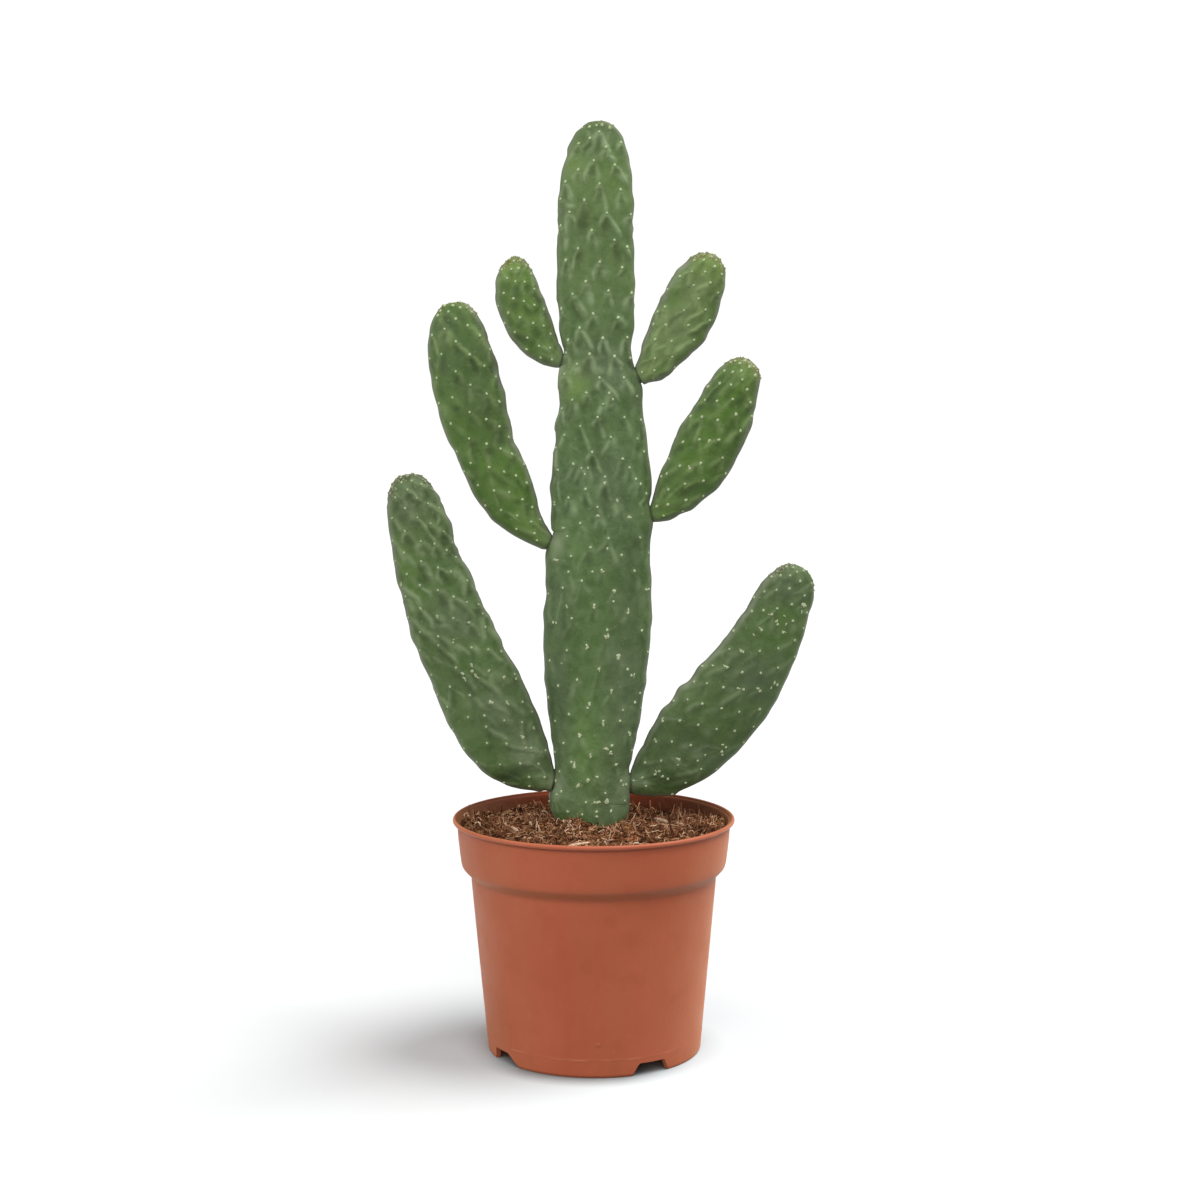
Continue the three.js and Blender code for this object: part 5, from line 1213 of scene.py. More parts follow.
def dress(cl, places, par, rnd):
    """Areoles with their wool, bristles and, near the tips, brown remnants; corky scars."""
    wool, scar = Bag(), Bag()
    for t, c, side, row, col, size in places:
        P, N, T, L = cl.place(row, col)
        low = cl.name == "main_stem" and t < 0.60
        tipness = 1.0 if size < 1 else float(1 - smooth(3.0, 9.0, np.interp(row, np.arange(cl.nt), cl.depth)))
        s = (1.10 if cl.name == "main_stem" else 1.02) * size * par["wool"] * rnd.uniform(0.85, 1.15) * (0.86 if low else 1.0)
        V, F = blob(rnd, ICO2, (0.80 * s, 0.98 * s, 0.62 * s), 0.16)
        a = rnd.uniform(-0.5, 0.5)
        R = np.stack([L * math.cos(a) + T * math.sin(a), T * math.cos(a) - L * math.sin(a), N])
        old = rnd.random() < (0.10 if low else 0.02)
        wool.add(P + N * 0.12 + V @ R, tris=F, tint=0.25 * old + 0.10 * rnd.random() * tipness)
        # bristles
        for _ in range(7 if size == 1 else 3):
            d = unit(N * rnd.uniform(0.5, 1.2) + T * rnd.normal(0.25, 0.5) + L * rnd.normal(0, 0.5))
            b = P + N * 0.35 * s + (T * rnd.normal(0, 0.3) + L * rnd.normal(0, 0.3)) * s
            cv, cf = cone(b, b + d * rnd.uniform(0.6, 1.3) * s, 0.07, L if abs(d @ L) < 0.9 else T)
            wool.add(cv, tris=cf[:3], tint=0.0)
        # brown remnants of the leaves at the growing tips
        if tipness > 0.3 and rnd.random() < (0.5 if size == 1 else 0.45):
            for _ in range(rnd.integers(1, 3)):
                d = unit(N * rnd.uniform(0.5, 1.0) + T * rnd.normal(0.5, 0.4) + L * rnd.normal(0, 0.5))
                b = P + T * rnd.uniform(-1.6, 1.0) + L * rnd.uniform(-1.3, 1.3)
                cv, cf = cone(b - N * 0.2, b + d * rnd.uniform(0.5, 1.0), rnd.uniform(0.24, 0.38), L if abs(d @ L) < 0.9 else T, 5)
                wool.add(cv, tris=[f for f in cf if len(f) == 3], tint=rnd.uniform(0.45, 1.0))
    ob = wool.build(cl.name + "_areoles", WOOL.get(cl.name, PAD_WOOL))
    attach(ob, "root")
    # scars: thin crusts that follow the skin
    marks = [(t / 1000, c / 1000, w / 10, h / 10, 1) for t, c, w, h in SCARS.get(cl.name, [])]
    extra = {"main_stem": 46, "pad_left_low": 16, "pad_right_low": 14, "pad_left_mid": 4, "pad_right_mid": 4, "pad_left_top": 2, "pad_right_top": 3}[cl.name]
    for _ in range(extra):
        t = rnd.uniform(0.03, 0.52 if cl.name == "main_stem" else 0.9)
        marks.append((t, rnd.uniform(-0.9, 0.9), rnd.uniform(1.0, 2.2), rnd.uniform(1.0, 2.6), -1))
    for t, c, w, h, side in marks:
        row, col = cl.index(t, c, side)
        P, N, T, L = cl.place(row, col)
        lrow = np.linalg.norm(cl.at(min(row + 1, cl.nt - 1), col, cl.P) - cl.at(row, col, cl.P)) + 1e-6
        lcol = np.linalg.norm(cl.at(row, col + 1, cl.P) - cl.at(row, col, cl.P)) + 1e-6
        # signs of the steps along the grid
        dcol = (cl.at(row, col + 1, cl.P) - cl.at(row, col, cl.P)) @ L
        sg = 1 if dcol > 0 else -1
        rings, ns = 4, 16
        ph = rnd.uniform(0, 6.28, 4)
        pts = [(0.0, 0.0)]
        for k in range(1, rings + 1):
            for a in range(ns):
                an = 2 * math.pi * a / ns
                rr = 1 + 0.28 * math.sin(2 * an + ph[0]) + 0.20 * math.sin(3 * an + ph[1]) + 0.14 * math.sin(5 * an + ph[2]) + 0.08 * math.sin(7 * an + ph[3])
                f = k / rings
                pts.append((f * rr * math.cos(an) * w / 2, f * rr * math.sin(an) * h / 2))
        V = []
        for idx, (a, b) in enumerate(pts):
            k = (idx - 1) // ns + 1 if idx else 0
            r2 = min(max(row + b / lrow, 0), cl.nt - 1.001)
            c2 = col + sg * a / lcol
            q, nn = cl.at(r2, c2, cl.P), unit(cl.at(r2, c2, cl.N))
            up = (0.30, 0.26, 0.30, 0.16, -0.25)[k] * (1 + 0.5 * rnd.uniform(-1, 1) * (k < 4))
            V.append(q + nn * up)
        V = np.array(V)
        tr = [[0, 1 + a, 1 + (a + 1) % ns] for a in range(ns)]
        qd = [[1 + (k - 1) * ns + a, 1 + k * ns + a, 1 + k * ns + (a + 1) % ns, 1 + (k - 1) * ns + (a + 1) % ns] for k in range(1, rings) for a in range(ns)]
        tr, qd = np.array(tr), np.array(qd)
        f0 = np.cross(V[tr[0, 1]] - V[tr[0, 0]], V[tr[0, 2]] - V[tr[0, 0]])
        if f0 @ N < 0:
            tr, qd = tr[:, ::-1], qd[:, ::-1]
        scar.add(V, tris=tr, quads=qd, tint=np.concatenate([[rnd.uniform(0, 0.3)], np.repeat([0.0, 0.05, 0.15, 0.55], ns)]))
    if scar.n:
        ob = scar.build(cl.name + "_scars", CORK)
        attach(ob, "root")


# ends of the crease where each pad joins the stem: x, z, x, z (mm from the pot axis)
JOINTS = [(-19.6, 416.2, -21.6, 407.3), (-26.7, 305.6, -30.4, 296.8), (-25.2, 160.2, -26.4, 148.6),
          (26.2, 407.9, 30.4, 398.2), (35.6, 324.2, 37.7, 313.6), (22.9, 158.0, 23.5, 145.1)]

STEP = 0.86
CL = {}
for i, (name, step) in enumerate((("main_stem", 0.80), ("pad_left_low", 0.78), ("pad_right_low", 0.78), ("pad_left_mid", 0.76),
                                  ("pad_right_mid", 0.74), ("pad_left_top", 0.68), ("pad_right_top", 0.68))):
    CL[name] = build_cladode(name, step * STEP / 0.86, 101 + 13 * i)

# ------------------------------------------------------------------ pot
# feet: the ends of each notch in the standing ring (foot, top, top, foot), degrees from the front
NOTCHES = ((-65.0, -64.0, -52.0, -44.2), (20.4, 24.0, 39.0, 41.9), (115.0, 116.0, 128.0, 135.8), (200.4, 204.0, 219.0, 221.9))
NOTCH_TOP = 7.2
DRAINS = [((i + 0.25) * 2 * math.pi / 8) for i in range(8)]


def arc_pts(cx, cz, r, a0, a1, n):
    return [(cx + r * math.cos(math.radians(a)), cz + r * math.sin(math.radians(a))) for a in np.linspace(a0, a1, n)]


def build_pot():
    wall = lambda z: 64.1 + (73.5 - 64.1) * z / 101.5
    outer = [(wall(z), z) for z in (0.9, 1.8, 3.0, 4.2, 5.4, 6.6, 7.8, 9.0, 10.0)]
    outer += [(wall(10.3) + 0.01, 10.3), (wall(10.6) + 0.07, 10.6), (wall(10.85) + 0.08, 10.85), (wall(11.1) + 0.07, 11.1), (wall(11.4) + 0.01, 11.4)]
    outer += [(wall(z), z) for z in (12.5, 15, 19, 24, 30, 37, 45, 53, 61, 69, 77, 84, 90, 95, 99, 101.5)]
    outer += [(73.62, 103.2), (73.66, 105.4), (73.76, 106.7), (73.96, 107.45), (74.4, 108.1), (75.15, 108.8), (76.0, 109.55), (76.85, 110.35),
              (77.65, 111.2), (78.35, 112.0), (78.9, 112.7), (79.25, 113.35), (79.5, 114.1), (79.85, 115.6), (80.2, 118.0), (80.75, 122.6), (81.25, 127.2), (81.65, 131.0),
              (81.85, 133.4), (81.92, 135.0), (81.95, 136.4), (81.93, 137.5), (81.98, 138.3), (82.15, 138.95), (82.5, 139.4)]
    outer += arc_pts(83.5, 140.75, 1.36, -112, 175, 22)
    inner = [(81.75, 140.75), (81.2, 140.2), (80.85, 139.2), (80.6, 137.4), (80.35, 134.5), (79.7, 124.7), (78.6, 118), (77.9, 113.4), (77.3, 111.6), (76.3, 110.2), (75.0, 108.9),
             (73.8, 107.8), (72.9, 106.8), (72.4, 105.2), (71.6, 98), (70.6, 87), (69.6, 75.5), (67.4, 51), (65.1, 25.5), (64.2, 15.5), (63.7, 11.4), (63.2, 9.9), (62.5, 9.2), (61.4, 9.0)]
    under = [(60.0, 7.9), (60.7, 7.84), (61.15, 7.5), (61.3, 6.8), (61.36, 5.4), (61.42, 4.0), (61.48, 3.0), (61.55, 1.8), (61.62, 0.9)]
    foot = [(61.75, 0.35), (62.1, 0.05), (62.8, 0.0), (63.2, 0.0), (63.7, 0.05), (63.98, 0.35)]
    # the ring runs: under the floor, down the inside of the foot, round it, up the outside, over the lip and down the inside
    prof = np.array(under + foot + outer + inner)
    low = np.arange(len(prof)) < len(under) + len(foot) + 9
    # columns: even, with extra ones at the corners of the notches
    ang = list(np.linspace(0, 360, 360, endpoint=False))
    R = 64.0
    for nd in NOTCHES:
        for k, a in enumerate(nd):
            for d in (-0.75, -0.5, -0.25, 0.0, 0.25, 0.5, 0.75):
                ang.append((a + d) % 360)
    ang = np.array(sorted(ang))
    keep = np.concatenate([[True], np.diff(ang) > 0.14])
    ang = np.radians(ang[keep])
    nf = len(ang)
    zb = np.zeros(nf)
    for nd in NOTCHES:
        fine = np.arange(nd[0] - 6, nd[3] + 6, 0.05)
        h = np.interp(fine, nd, [0, NOTCH_TOP, NOTCH_TOP, 0])
        kern = np.exp(-(np.arange(-30, 31) * 0.05 / 0.42) ** 2)
        h = np.convolve(h, kern / kern.sum(), "same")
        h = np.where(h < 0.02, 0, h)
        d = (np.degrees(ang) - (nd[0] + nd[3]) / 2 + 180) % 360 - 180 + (nd[0] + nd[3]) / 2
        zb = np.maximum(zb, np.interp(d, fine, h, left=0, right=0))
    np_ = len(prof)
    Rr = np.broadcast_to(prof[:, 0:1], (np_, nf)).copy()
    Z = np.broadcast_to(prof[:, 1:2], (np_, nf)).copy()
    isfoot = (np.arange(np_) >= len(under)) & (np.arange(np_) < len(under) + len(foot))
    for i in range(np_):
        if not low[i]:
            continue
        z = prof[i, 1]
        lid = 7.82 if i < len(under) else 9.0
        if i < len(under) and z > lid - 0.1:
            continue
        if prof[i, 1] > 8.9 and i > len(under):
            continue
        Z[i] = zb + z * (lid - zb) / lid
        # the wall leans, so a raised row sits further out
        if i >= len(under) + len(foot):
            Rr[i] = 64.1 + (73.5 - 64.1) * Z[i] / 101.5
        elif isfoot[i]:
            Rr[i] = prof[i, 0] + (Z[i] - z) * (0.0926 if prof[i, 0] > 62.9 else -0.05)
    # the foot is very slightly out of round, and the rim leans a little
    Rr = Rr + 0.80 + 0.12 * (1 - np.clip(Z / 101.5, 0, 1)) + (0.35 * np.sin(2 * ang) - 0.5 * np.cos(ang) ** 2)[None] * np.clip(1 - Z / 45, 0, 1)
    Z = Z + (0.15 - 0.65 * np.cos(ang)[None] * Rr / 84) * smooth(112, 134, Z)
    x = Rr * np.sin(ang)[None] + 0.25 + 0.40 * (1 - np.clip(Z / 101.5, 0, 1))
    y = -Rr * np.cos(ang)[None]
    V = np.stack([x, y, Z], -1).reshape(-1, 3)
    i, j = np.meshgrid(np.arange(np_ - 1), np.arange(nf), indexing="ij")
    i, j = i.ravel(), j.ravel()
    j1 = (j + 1) % nf
    quads = [np.stack([i * nf + j, i * nf + j1, (i + 1) * nf + j1, (i + 1) * nf + j], 1)]
    # floor: two faces with eight drain holes and their walls
    hole = np.linspace(0, 2 * math.pi, 28, endpoint=False)
    rings = {}
    tris, more, base = [], [], len(V)
    for key, row, zf in (("under", 0, 7.9), ("top", np_ - 1, 9.0)):
        pts = [(V[row * nf + k, 0], V[row * nf + k, 1]) for k in range(nf)]
        loops = [list(range(nf))]
        for a in DRAINS:
            cx, cy = 49 * math.cos(a), 49 * math.sin(a)
            s = len(pts)
            pts += [(cx + 4.2 * math.cos(h), cy + 4.2 * math.sin(h)) for h in hole]
            loops.append(list(range(s, s + len(hole))))
        for rr, nn in ((20, 14), (36, 26), (56.5, 60)):
            pts += [(rr * math.cos(h), rr * math.sin(h)) for h in np.linspace(0, 2 * math.pi, nn, endpoint=False) + 0.05
                    if min(math.hypot(rr * math.cos(h) - 49 * math.cos(a), rr * math.sin(h) - 49 * math.sin(a)) for a in DRAINS) > 5.0]
        edges = [(lp[k], lp[(k + 1) % len(lp)]) for lp in loops for k in range(len(lp))]
        co, _, faces, orig, _, _ = geometry.delaunay_2d_cdt([Vector(q) for q in pts], edges, [], 1, 1e-5)
        src = [o[0] if o else -1 for o in orig]
        add = []
        remap = {}
        for vi, o in enumerate(src):
            if 0 <= o < nf:
                remap[vi] = row * nf + o
            else:
                remap[vi] = base + len(more)
                more.append((co[vi].x, co[vi].y, zf))
            if o >= 0:
                rings[(key, o)] = remap[vi]
        for f in faces:
            cx, cy = sum(co[v].x for v in f) / len(f), sum(co[v].y for v in f) / len(f)
            if any(math.hypot(cx - 49 * math.cos(a), cy - 49 * math.sin(a)) < 4.16 for a in DRAINS):
                continue
            ids = [remap[v] for v in f]
            for k in range(1, len(ids) - 1):
                tri = [ids[0], ids[k], ids[k + 1]]
                add.append(tri)
        allv = np.vstack([V, np.array(more)])
        add = np.array(add)
        nz = np.cross(allv[add[:, 1]] - allv[add[:, 0]], allv[add[:, 2]] - allv[add[:, 0]])[:, 2]
        want = -1 if key == "under" else 1
        add[nz * want < 0] = add[nz * want < 0][:, ::-1]
        tris.append(add)
    walls = []
    for hidx in range(8):
        s = nf + hidx * len(hole)
        for k in range(len(hole)):
            a, b = s + k, s + (k + 1) % len(hole)
            walls.append([rings[("under", a)], rings[("under", b)], rings[("top", b)], rings[("top", a)]])
    V = np.vstack([V, np.array(more)])
    walls = np.array(walls)
    # walls of the holes face the middle of each hole
    c0 = V[walls].mean(1)
    n0 = np.cross(V[walls[:, 1]] - V[walls[:, 0]], V[walls[:, 2]] - V[walls[:, 0]])
    to = np.array([[49 * math.cos(DRAINS[k // len(hole)]), 49 * math.sin(DRAINS[k // len(hole)]), 8.4] for k in range(len(walls))]) - c0
    flip = (n0 * to).sum(1) < 0
    walls[flip] = walls[flip][:, ::-1]
    q = quads[0]
    # lathe faces: outward on the outside of the band
    mid_row = len(under) + len(foot) + 20
    f = q[mid_row * nf]
    nrm = np.cross(V[f[1]] - V[f[0]], V[f[2]] - V[f[0]])
    if nrm @ np.array([V[f[0], 0], V[f[0], 1], 0]) < 0:
        q = q[:, ::-1]
    # the gate pip low on the front
    row = np.repeat(np.arange(np_), nf)
    full = np.zeros(len(V))
    a0 = math.radians(2.0)
    th = np.arctan2(V[:, 0], -V[:, 1])
    rad = np.hypot(V[:, 0], V[:, 1])
    outside = np.zeros(len(V), bool)
    outside[:len(row)] = row >= len(under) + len(foot)
    # painted shade: a dark copy of the plastic on the inner wall and floor, from just inside the lip
    inside_shade = np.zeros(len(V))
    first_lip = len(under) + len(foot) + len(outer) - 22
    lip_angle = -112 + (row - first_lip) * 287 / 21
    inside_shade[:len(row)] = smooth(70, 104, lip_angle)
    inside_shade[len(row):] = 1
    lip_highlight = np.zeros(len(V))
    # painted highlight on the lip, strongest at its left and right ends
    lip_highlight[:len(row)] = smooth(-75, -35, lip_angle) * (1 - smooth(70, 100, lip_angle)) * (0.06 + 0.50 * smooth(0.86, 1.0, np.abs(np.sin(th[:len(row)]))))
    # painted light: the back of the inner wall, which faces the front, is lighter and redder
    glow = np.exp(-((np.degrees(np.abs(np.arctan2(V[:, 0], -V[:, 1]))) - 180) / 31) ** 2)
    # painted shade in the groove under the lip, less on the right, under the ledge of the band and in the foot
    zz, out_row = V[:len(row), 2], (row > len(under) + len(foot)) & (row < first_lip + 4)
    crevice_shade = np.zeros(len(V))
    crevice_shade[:len(row)] = out_row * (0.50 * (1 - 0.75 * smooth(0.35, 0.9, np.sin(th[:len(row)]))) * smooth(137.0, 138.4, zz) * (1 - smooth(139.4, 140.0, zz)) + 0.28 * smooth(104.5, 107.5, zz) * (1 - smooth(111.6, 112.9, zz)))
    in_foot = (row >= len(under) + len(foot) - 2) & (row < len(under) + len(foot) + 1)
    crevice_shade[:len(row)] = np.maximum(crevice_shade[:len(row)], 0.55 * in_foot)
    dust = np.zeros(len(V))
    dust[:len(row)] = (lip_angle > 104) * (np.exp(-((V[:len(row), 2] - 136.5) / 3.2) ** 2))
    scuff = np.zeros(len(V))
    scuff[:len(row)] = ((np.abs(V[:len(row), 2] - 10.85) < 0.45) & (row > len(under) + len(foot)) & (row < len(under) + len(foot) + 20)) * np.clip(
        0.8 * vnoise(V[:len(row)], 8.0, 5) - 0.02, 0, 0.42) * (np.cos(th[:len(row)]) ** 2 > 0.45)
    V = V + np.array([AXIS_X, 0, 0])
    ob = make_mesh("pot_shell", V, [q, walls] + tris, pot_material(), True, dict(inside_shade=inside_shade, dust=dust, scuff=scuff, lip_highlight=lip_highlight, crevice_shade=crevice_shade, glow=glow), sharp=32)
    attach(ob, "root")
    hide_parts("pot")
    # gate mark: a small flat button with a nipped centre
    n = 28
    prof = [(0.0, 0.04), (0.25, 0.08), (0.45, 0.17), (0.7, 0.20), (0.95, 0.15), (1.15, 0.0), (1.25, -0.3)]
    zc, ang0 = 20.4, math.radians(2.1)
    Rc = wall(zc) + 0.80 + 0.12 * (1 - zc / 101.5)
    C = np.array([Rc * math.sin(ang0) + 0.25 + 0.40 * (1 - zc / 101.5), -Rc * math.cos(ang0), zc])
    Nn = unit(np.array([math.sin(ang0), -math.cos(ang0), -0.0926]))
    Lx = unit(np.cross([0, 0, 1.0], Nn))
    Tz = np.cross(Nn, Lx)
    pts = [C + Nn * prof[0][1]]
    for r, hgt in prof[1:]:
        for k in range(n):
            a = 2 * math.pi * k / n
            off = Lx * r * math.cos(a) + Tz * r * math.sin(a)
            sag = (off @ Lx) ** 2 / (2 * Rc)
            pts.append(C + off + Nn * (hgt - sag))
    pts = np.array(pts) + np.array([AXIS_X, 0, 0])
    tr = np.array([[0, 1 + k, 1 + (k + 1) % n] for k in range(n)])
    qd = np.array([[1 + (r - 1) * n + k, 1 + r * n + k, 1 + r * n + (k + 1) % n, 1 + (r - 1) * n + (k + 1) % n] for r in range(1, len(prof) - 1) for k in range(n)])
    f0 = np.cross(pts[tr[0, 1]] - pts[0], pts[tr[0, 2]] - pts[0])
    if f0 @ Nn < 0:
        tr, qd = tr[:, ::-1], qd[:, ::-1]
    # the mark takes a little of the same painted crevice shade
    ob2 = make_mesh("pot_gate_mark", pts, [qd, tr], ob.data.materials[0], True, dict(inside_shade=np.zeros(len(pts)), dust=np.zeros(len(pts)), scuff=np.full(len(pts), 0.06), lip_highlight=np.zeros(len(pts)), crevice_shade=np.full(len(pts), 0.12), glow=np.zeros(len(pts))), sharp=50)
    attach(ob2, "root")


build_pot()

# ------------------------------------------------------------------ soil


def soil_top(x, y):
    r = np.hypot(x, y)
    t = np.clip((r - 22) / 56.5, 0, 1)
    b = 0.55 * np.sin(x * 0.31 + 1.3) * np.cos(y * 0.27 - 0.4) + 0.4 * np.sin(x * 0.13 - y * 0.19) - 2.4 * np.exp(-((x - 36) / 10) ** 2 - ((y - 24) / 14) ** 2)
    b = b + 2.6 * np.exp(-((x + 9) / 8) ** 2 - ((y + 20) / 6) ** 2) - 3.4 * np.exp(-((x - 8) / 8) ** 2 - ((y + 21) / 7) ** 2) + 1.2 * np.exp(-((x - 24) / 6) ** 2 - ((y + 8) / 7) ** 2)
    b = b + 2.6 * np.exp(-((x + 25) / 7) ** 2 - ((y + 9) / 7) ** 2) - 5.0 * np.exp(-((x - 39) / 15) ** 2 - ((y - 50) / 18) ** 2) + 5.2 * np.exp(-((x + 77) / 11) ** 2 - ((y - 2) / 25) ** 2) + 3.8 * np.exp(-((x - 78) / 12) ** 2 - ((y - 2) / 26) ** 2)
    return 141.6 + (134.3 - 141.6) * t ** 0.8 + b * np.minimum(r / 20, 1)


def soil_rough(x, y):
    """Height of the loose surface: the mound, lumps, crumbs and grit."""
    P = np.stack([x, y, np.zeros_like(x)], -1)
    r = np.hypot(x, y)
    calm = 1 - 0.7 * smooth(77.5, 80.2, r)
    lump = fbm(P, 13.0, 2, 301)
    crumb = 1 - 2 * np.abs(fbm(P, 5.4, 3, 333))
    grit = fbm(P, 1.7, 2, 377)
    return soil_top(x, y) + calm * (2.4 * lump + 1.7 * crumb + 0.6 * grit) - 1.3


def painted_soil_shade(x, y):
    """Painted shade of the mix by place: the ground behind the stem, in the shade of the rim and the pads, and every
    dip of the loose surface.
    """
    g = 0.85 * np.exp(-((x - 38) / 17) ** 2 - ((y - 48) / 22) ** 2) + 0.55 * np.exp(-((x + 42) / 24) ** 2 - ((y - 48) / 17) ** 2)
    rel = soil_rough(x, y) - soil_top(x, y) + 1.3
    return np.clip(np.maximum(g, 1 - smooth(-1.6, 0.7, rel)), 0, 1)


def build_soil():
    nr, nf = ((104, 520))
    rr = np.linspace(0, 80.3, nr + 1)[1:]
    th = np.linspace(0, 2 * math.pi, nf, endpoint=False)
    X, Y = rr[:, None] * np.cos(th)[None], rr[:, None] * np.sin(th)[None]
    Z = soil_rough(X.ravel(), Y.ravel()).reshape(X.shape)
    side = [(80.4, 131.0), (79.9, 125.5), (77.9, 112.9), (77.1, 111.6), (75.1, 109.6), (73.0, 107.6), (72.2, 105.2), (69.5, 75.5), (67.3, 50.5), (65.0, 25.5), (63.5, 11.2), (61.9, 9.4)]
    rows = [np.stack([X[i], Y[i], Z[i]], -1) for i in range(nr)]
    for r, z in side:
        P = np.stack([r * np.cos(th), r * np.sin(th), np.full(nf, z)], -1)
        g = 0.22 * fbm(P, 3.0, 2, 401)
        P[:, 0] -= np.cos(th) * np.abs(g)
        P[:, 1] -= np.sin(th) * np.abs(g)
        rows.append(P)
    V = np.vstack([np.array([[0, 0, float(soil_rough(np.zeros(1), np.zeros(1))[0])]])] + rows + [np.array([[0, 0, 9.4]])])
    nrow = len(rows)
    i, j = np.meshgrid(np.arange(nrow - 1), np.arange(nf), indexing="ij")
    i, j = i.ravel(), j.ravel()
    j1 = (j + 1) % nf
    quads = 1 + np.stack([i * nf + j, (i + 1) * nf + j, (i + 1) * nf + j1, i * nf + j1], 1)
    jj = np.arange(nf)
    last = 1 + (nrow - 1) * nf
    tris = np.vstack([np.stack([np.zeros(nf, int), 1 + jj, 1 + (jj + 1) % nf], 1),
                      np.stack([last + jj, np.full(nf, last + nf), last + (jj + 1) % nf], 1)])
    # how far a place lies below the ground around it
    calmz = Z.copy()
    for _ in range(3):
        pad = np.vstack([calmz[:4][::-1], calmz, calmz[-4:][::-1]])
        calmz = sum(pad[k:k + nr] for k in range(9)) / 9
        for ring in range(nr):
            reach = int(min(nf // 3, max(2, 3.0 / (rr[ring] * 2 * math.pi / nf))))
            row = np.concatenate([calmz[ring, -reach:], calmz[ring], calmz[ring, :reach]])
            cum = np.concatenate([[0], np.cumsum(row)])
            calmz[ring] = (cum[2 * reach + 1:] - cum[:-2 * reach - 1]) / (2 * reach + 1)
    # painted shade: the dips and the ground behind the stem
    depth = np.zeros(len(V))
    depth[1:1 + nr * nf] = np.maximum(smooth(-0.15, 1.3, (calmz - Z).ravel()) * 0.96, 0.8 * painted_soil_shade(X.ravel(), Y.ravel()))
    V = V + np.array([AXIS_X, 0, 0])
    polys = outward(V, [quads, tris])
    ob = make_mesh("soil_mound", V, polys, SOIL, True, dict(depth=depth, tint=np.zeros(len(V))))
    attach(ob, "root")
    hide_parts("potting_soil")


def in_stem(x, y, grow=0.0):
    """True inside the stem's own section at soil level (pot frame)."""
    return (np.abs(x + 1.6) / (22.4 + grow)) ** 2.25 + (np.abs(y) / (17.0 + grow)) ** 2.25 < 1


def on_sliver(x, y):
    """True near the middle line of a wood sliver or the bark chip."""
    for sx, sy, deg, ln, w, t, tilt in SLIVERS.values():
        ca, sa = math.cos(math.radians(deg)), math.sin(math.radians(deg))
        u, v = (x - sx) * ca + (y - sy) * sa, -(x - sx) * sa + (y - sy) * ca
        if (np.abs(u) < 0.5 * ln).__and__(np.abs(v) < 0.5 * w + 0.4).any():
            return True
    return False


def tube_mesh(path, radii, sides):
    n = len(path)
    tan = unit(np.gradient(path, axis=0))
    ref = np.array([0.0, 0, 1]) if abs(tan[0, 2]) < 0.8 else np.array([1.0, 0, 0])
    u = unit(np.cross(tan, ref))
    w = np.cross(tan, u)
    a = np.arange(sides) * 2 * math.pi / sides
    V = path[:, None] + radii[:, None, None] * (np.cos(a)[None, :, None] * u[:, None] + np.sin(a)[None, :, None] * w[:, None])
    V = V.reshape(-1, 3)
    i, j = np.meshgrid(np.arange(n - 1), np.arange(sides), indexing="ij")
    i, j = i.ravel(), j.ravel()
    j1 = (j + 1) % sides
    q = np.stack([i * sides + j, i * sides + j1, (i + 1) * sides + j1, (i + 1) * sides + j], 1)
    caps = [[k for k in range(sides)][::-1], [(n - 1) * sides + k for k in range(sides)]]
    t = []
    for c in caps:
        for k in range(1, sides - 1):
            t.append([c[0], c[k], c[k + 1]])
    return V, q, np.array(t)


def fibre(rnd, x, y, length, heading, curl, radius, lift, seg=9):
    s = np.linspace(-0.5, 0.5, seg) * length
    a = heading + max(-1.9, min(1.9, curl)) * (s / length) + 0.5 * rnd.normal() * np.sin(s / length * 7 + rnd.uniform(0, 6))
    ds = length / (seg - 1)
    px = x + np.concatenate([[0], np.cumsum(np.cos(a[:-1]) * ds)])
    py = y + np.concatenate([[0], np.cumsum(np.sin(a[:-1]) * ds)])
    px -= px[seg // 2] - x
    py -= py[seg // 2] - y
    r = np.hypot(px, py)
    k = np.minimum(1, 79.9 / np.maximum(r, 1e-6))
    px, py = px * k, py * k
    z = soil_rough(px, py)
    u = np.linspace(-1, 1, seg)
    kind = rnd.random()
    up = lift * (1 - u * u) if kind < 0.55 else lift * 1.8 * np.clip((u + 0.2), 0, 1.2) ** 1.6
    zs = np.convolve(np.pad(z, 2, mode="edge"), [0.15, 0.2, 0.3, 0.2, 0.15], "valid")
    zz = np.maximum(zs, z - 0.2) + up + radius * 0.6 + rnd.uniform(-0.15, 0.25)
    taper = np.clip(1.15 - np.abs(u) ** 3 * rnd.uniform(0.5, 0.9), 0.2, 1.1)
    return np.stack([px, py, zz], -1), radius * taper


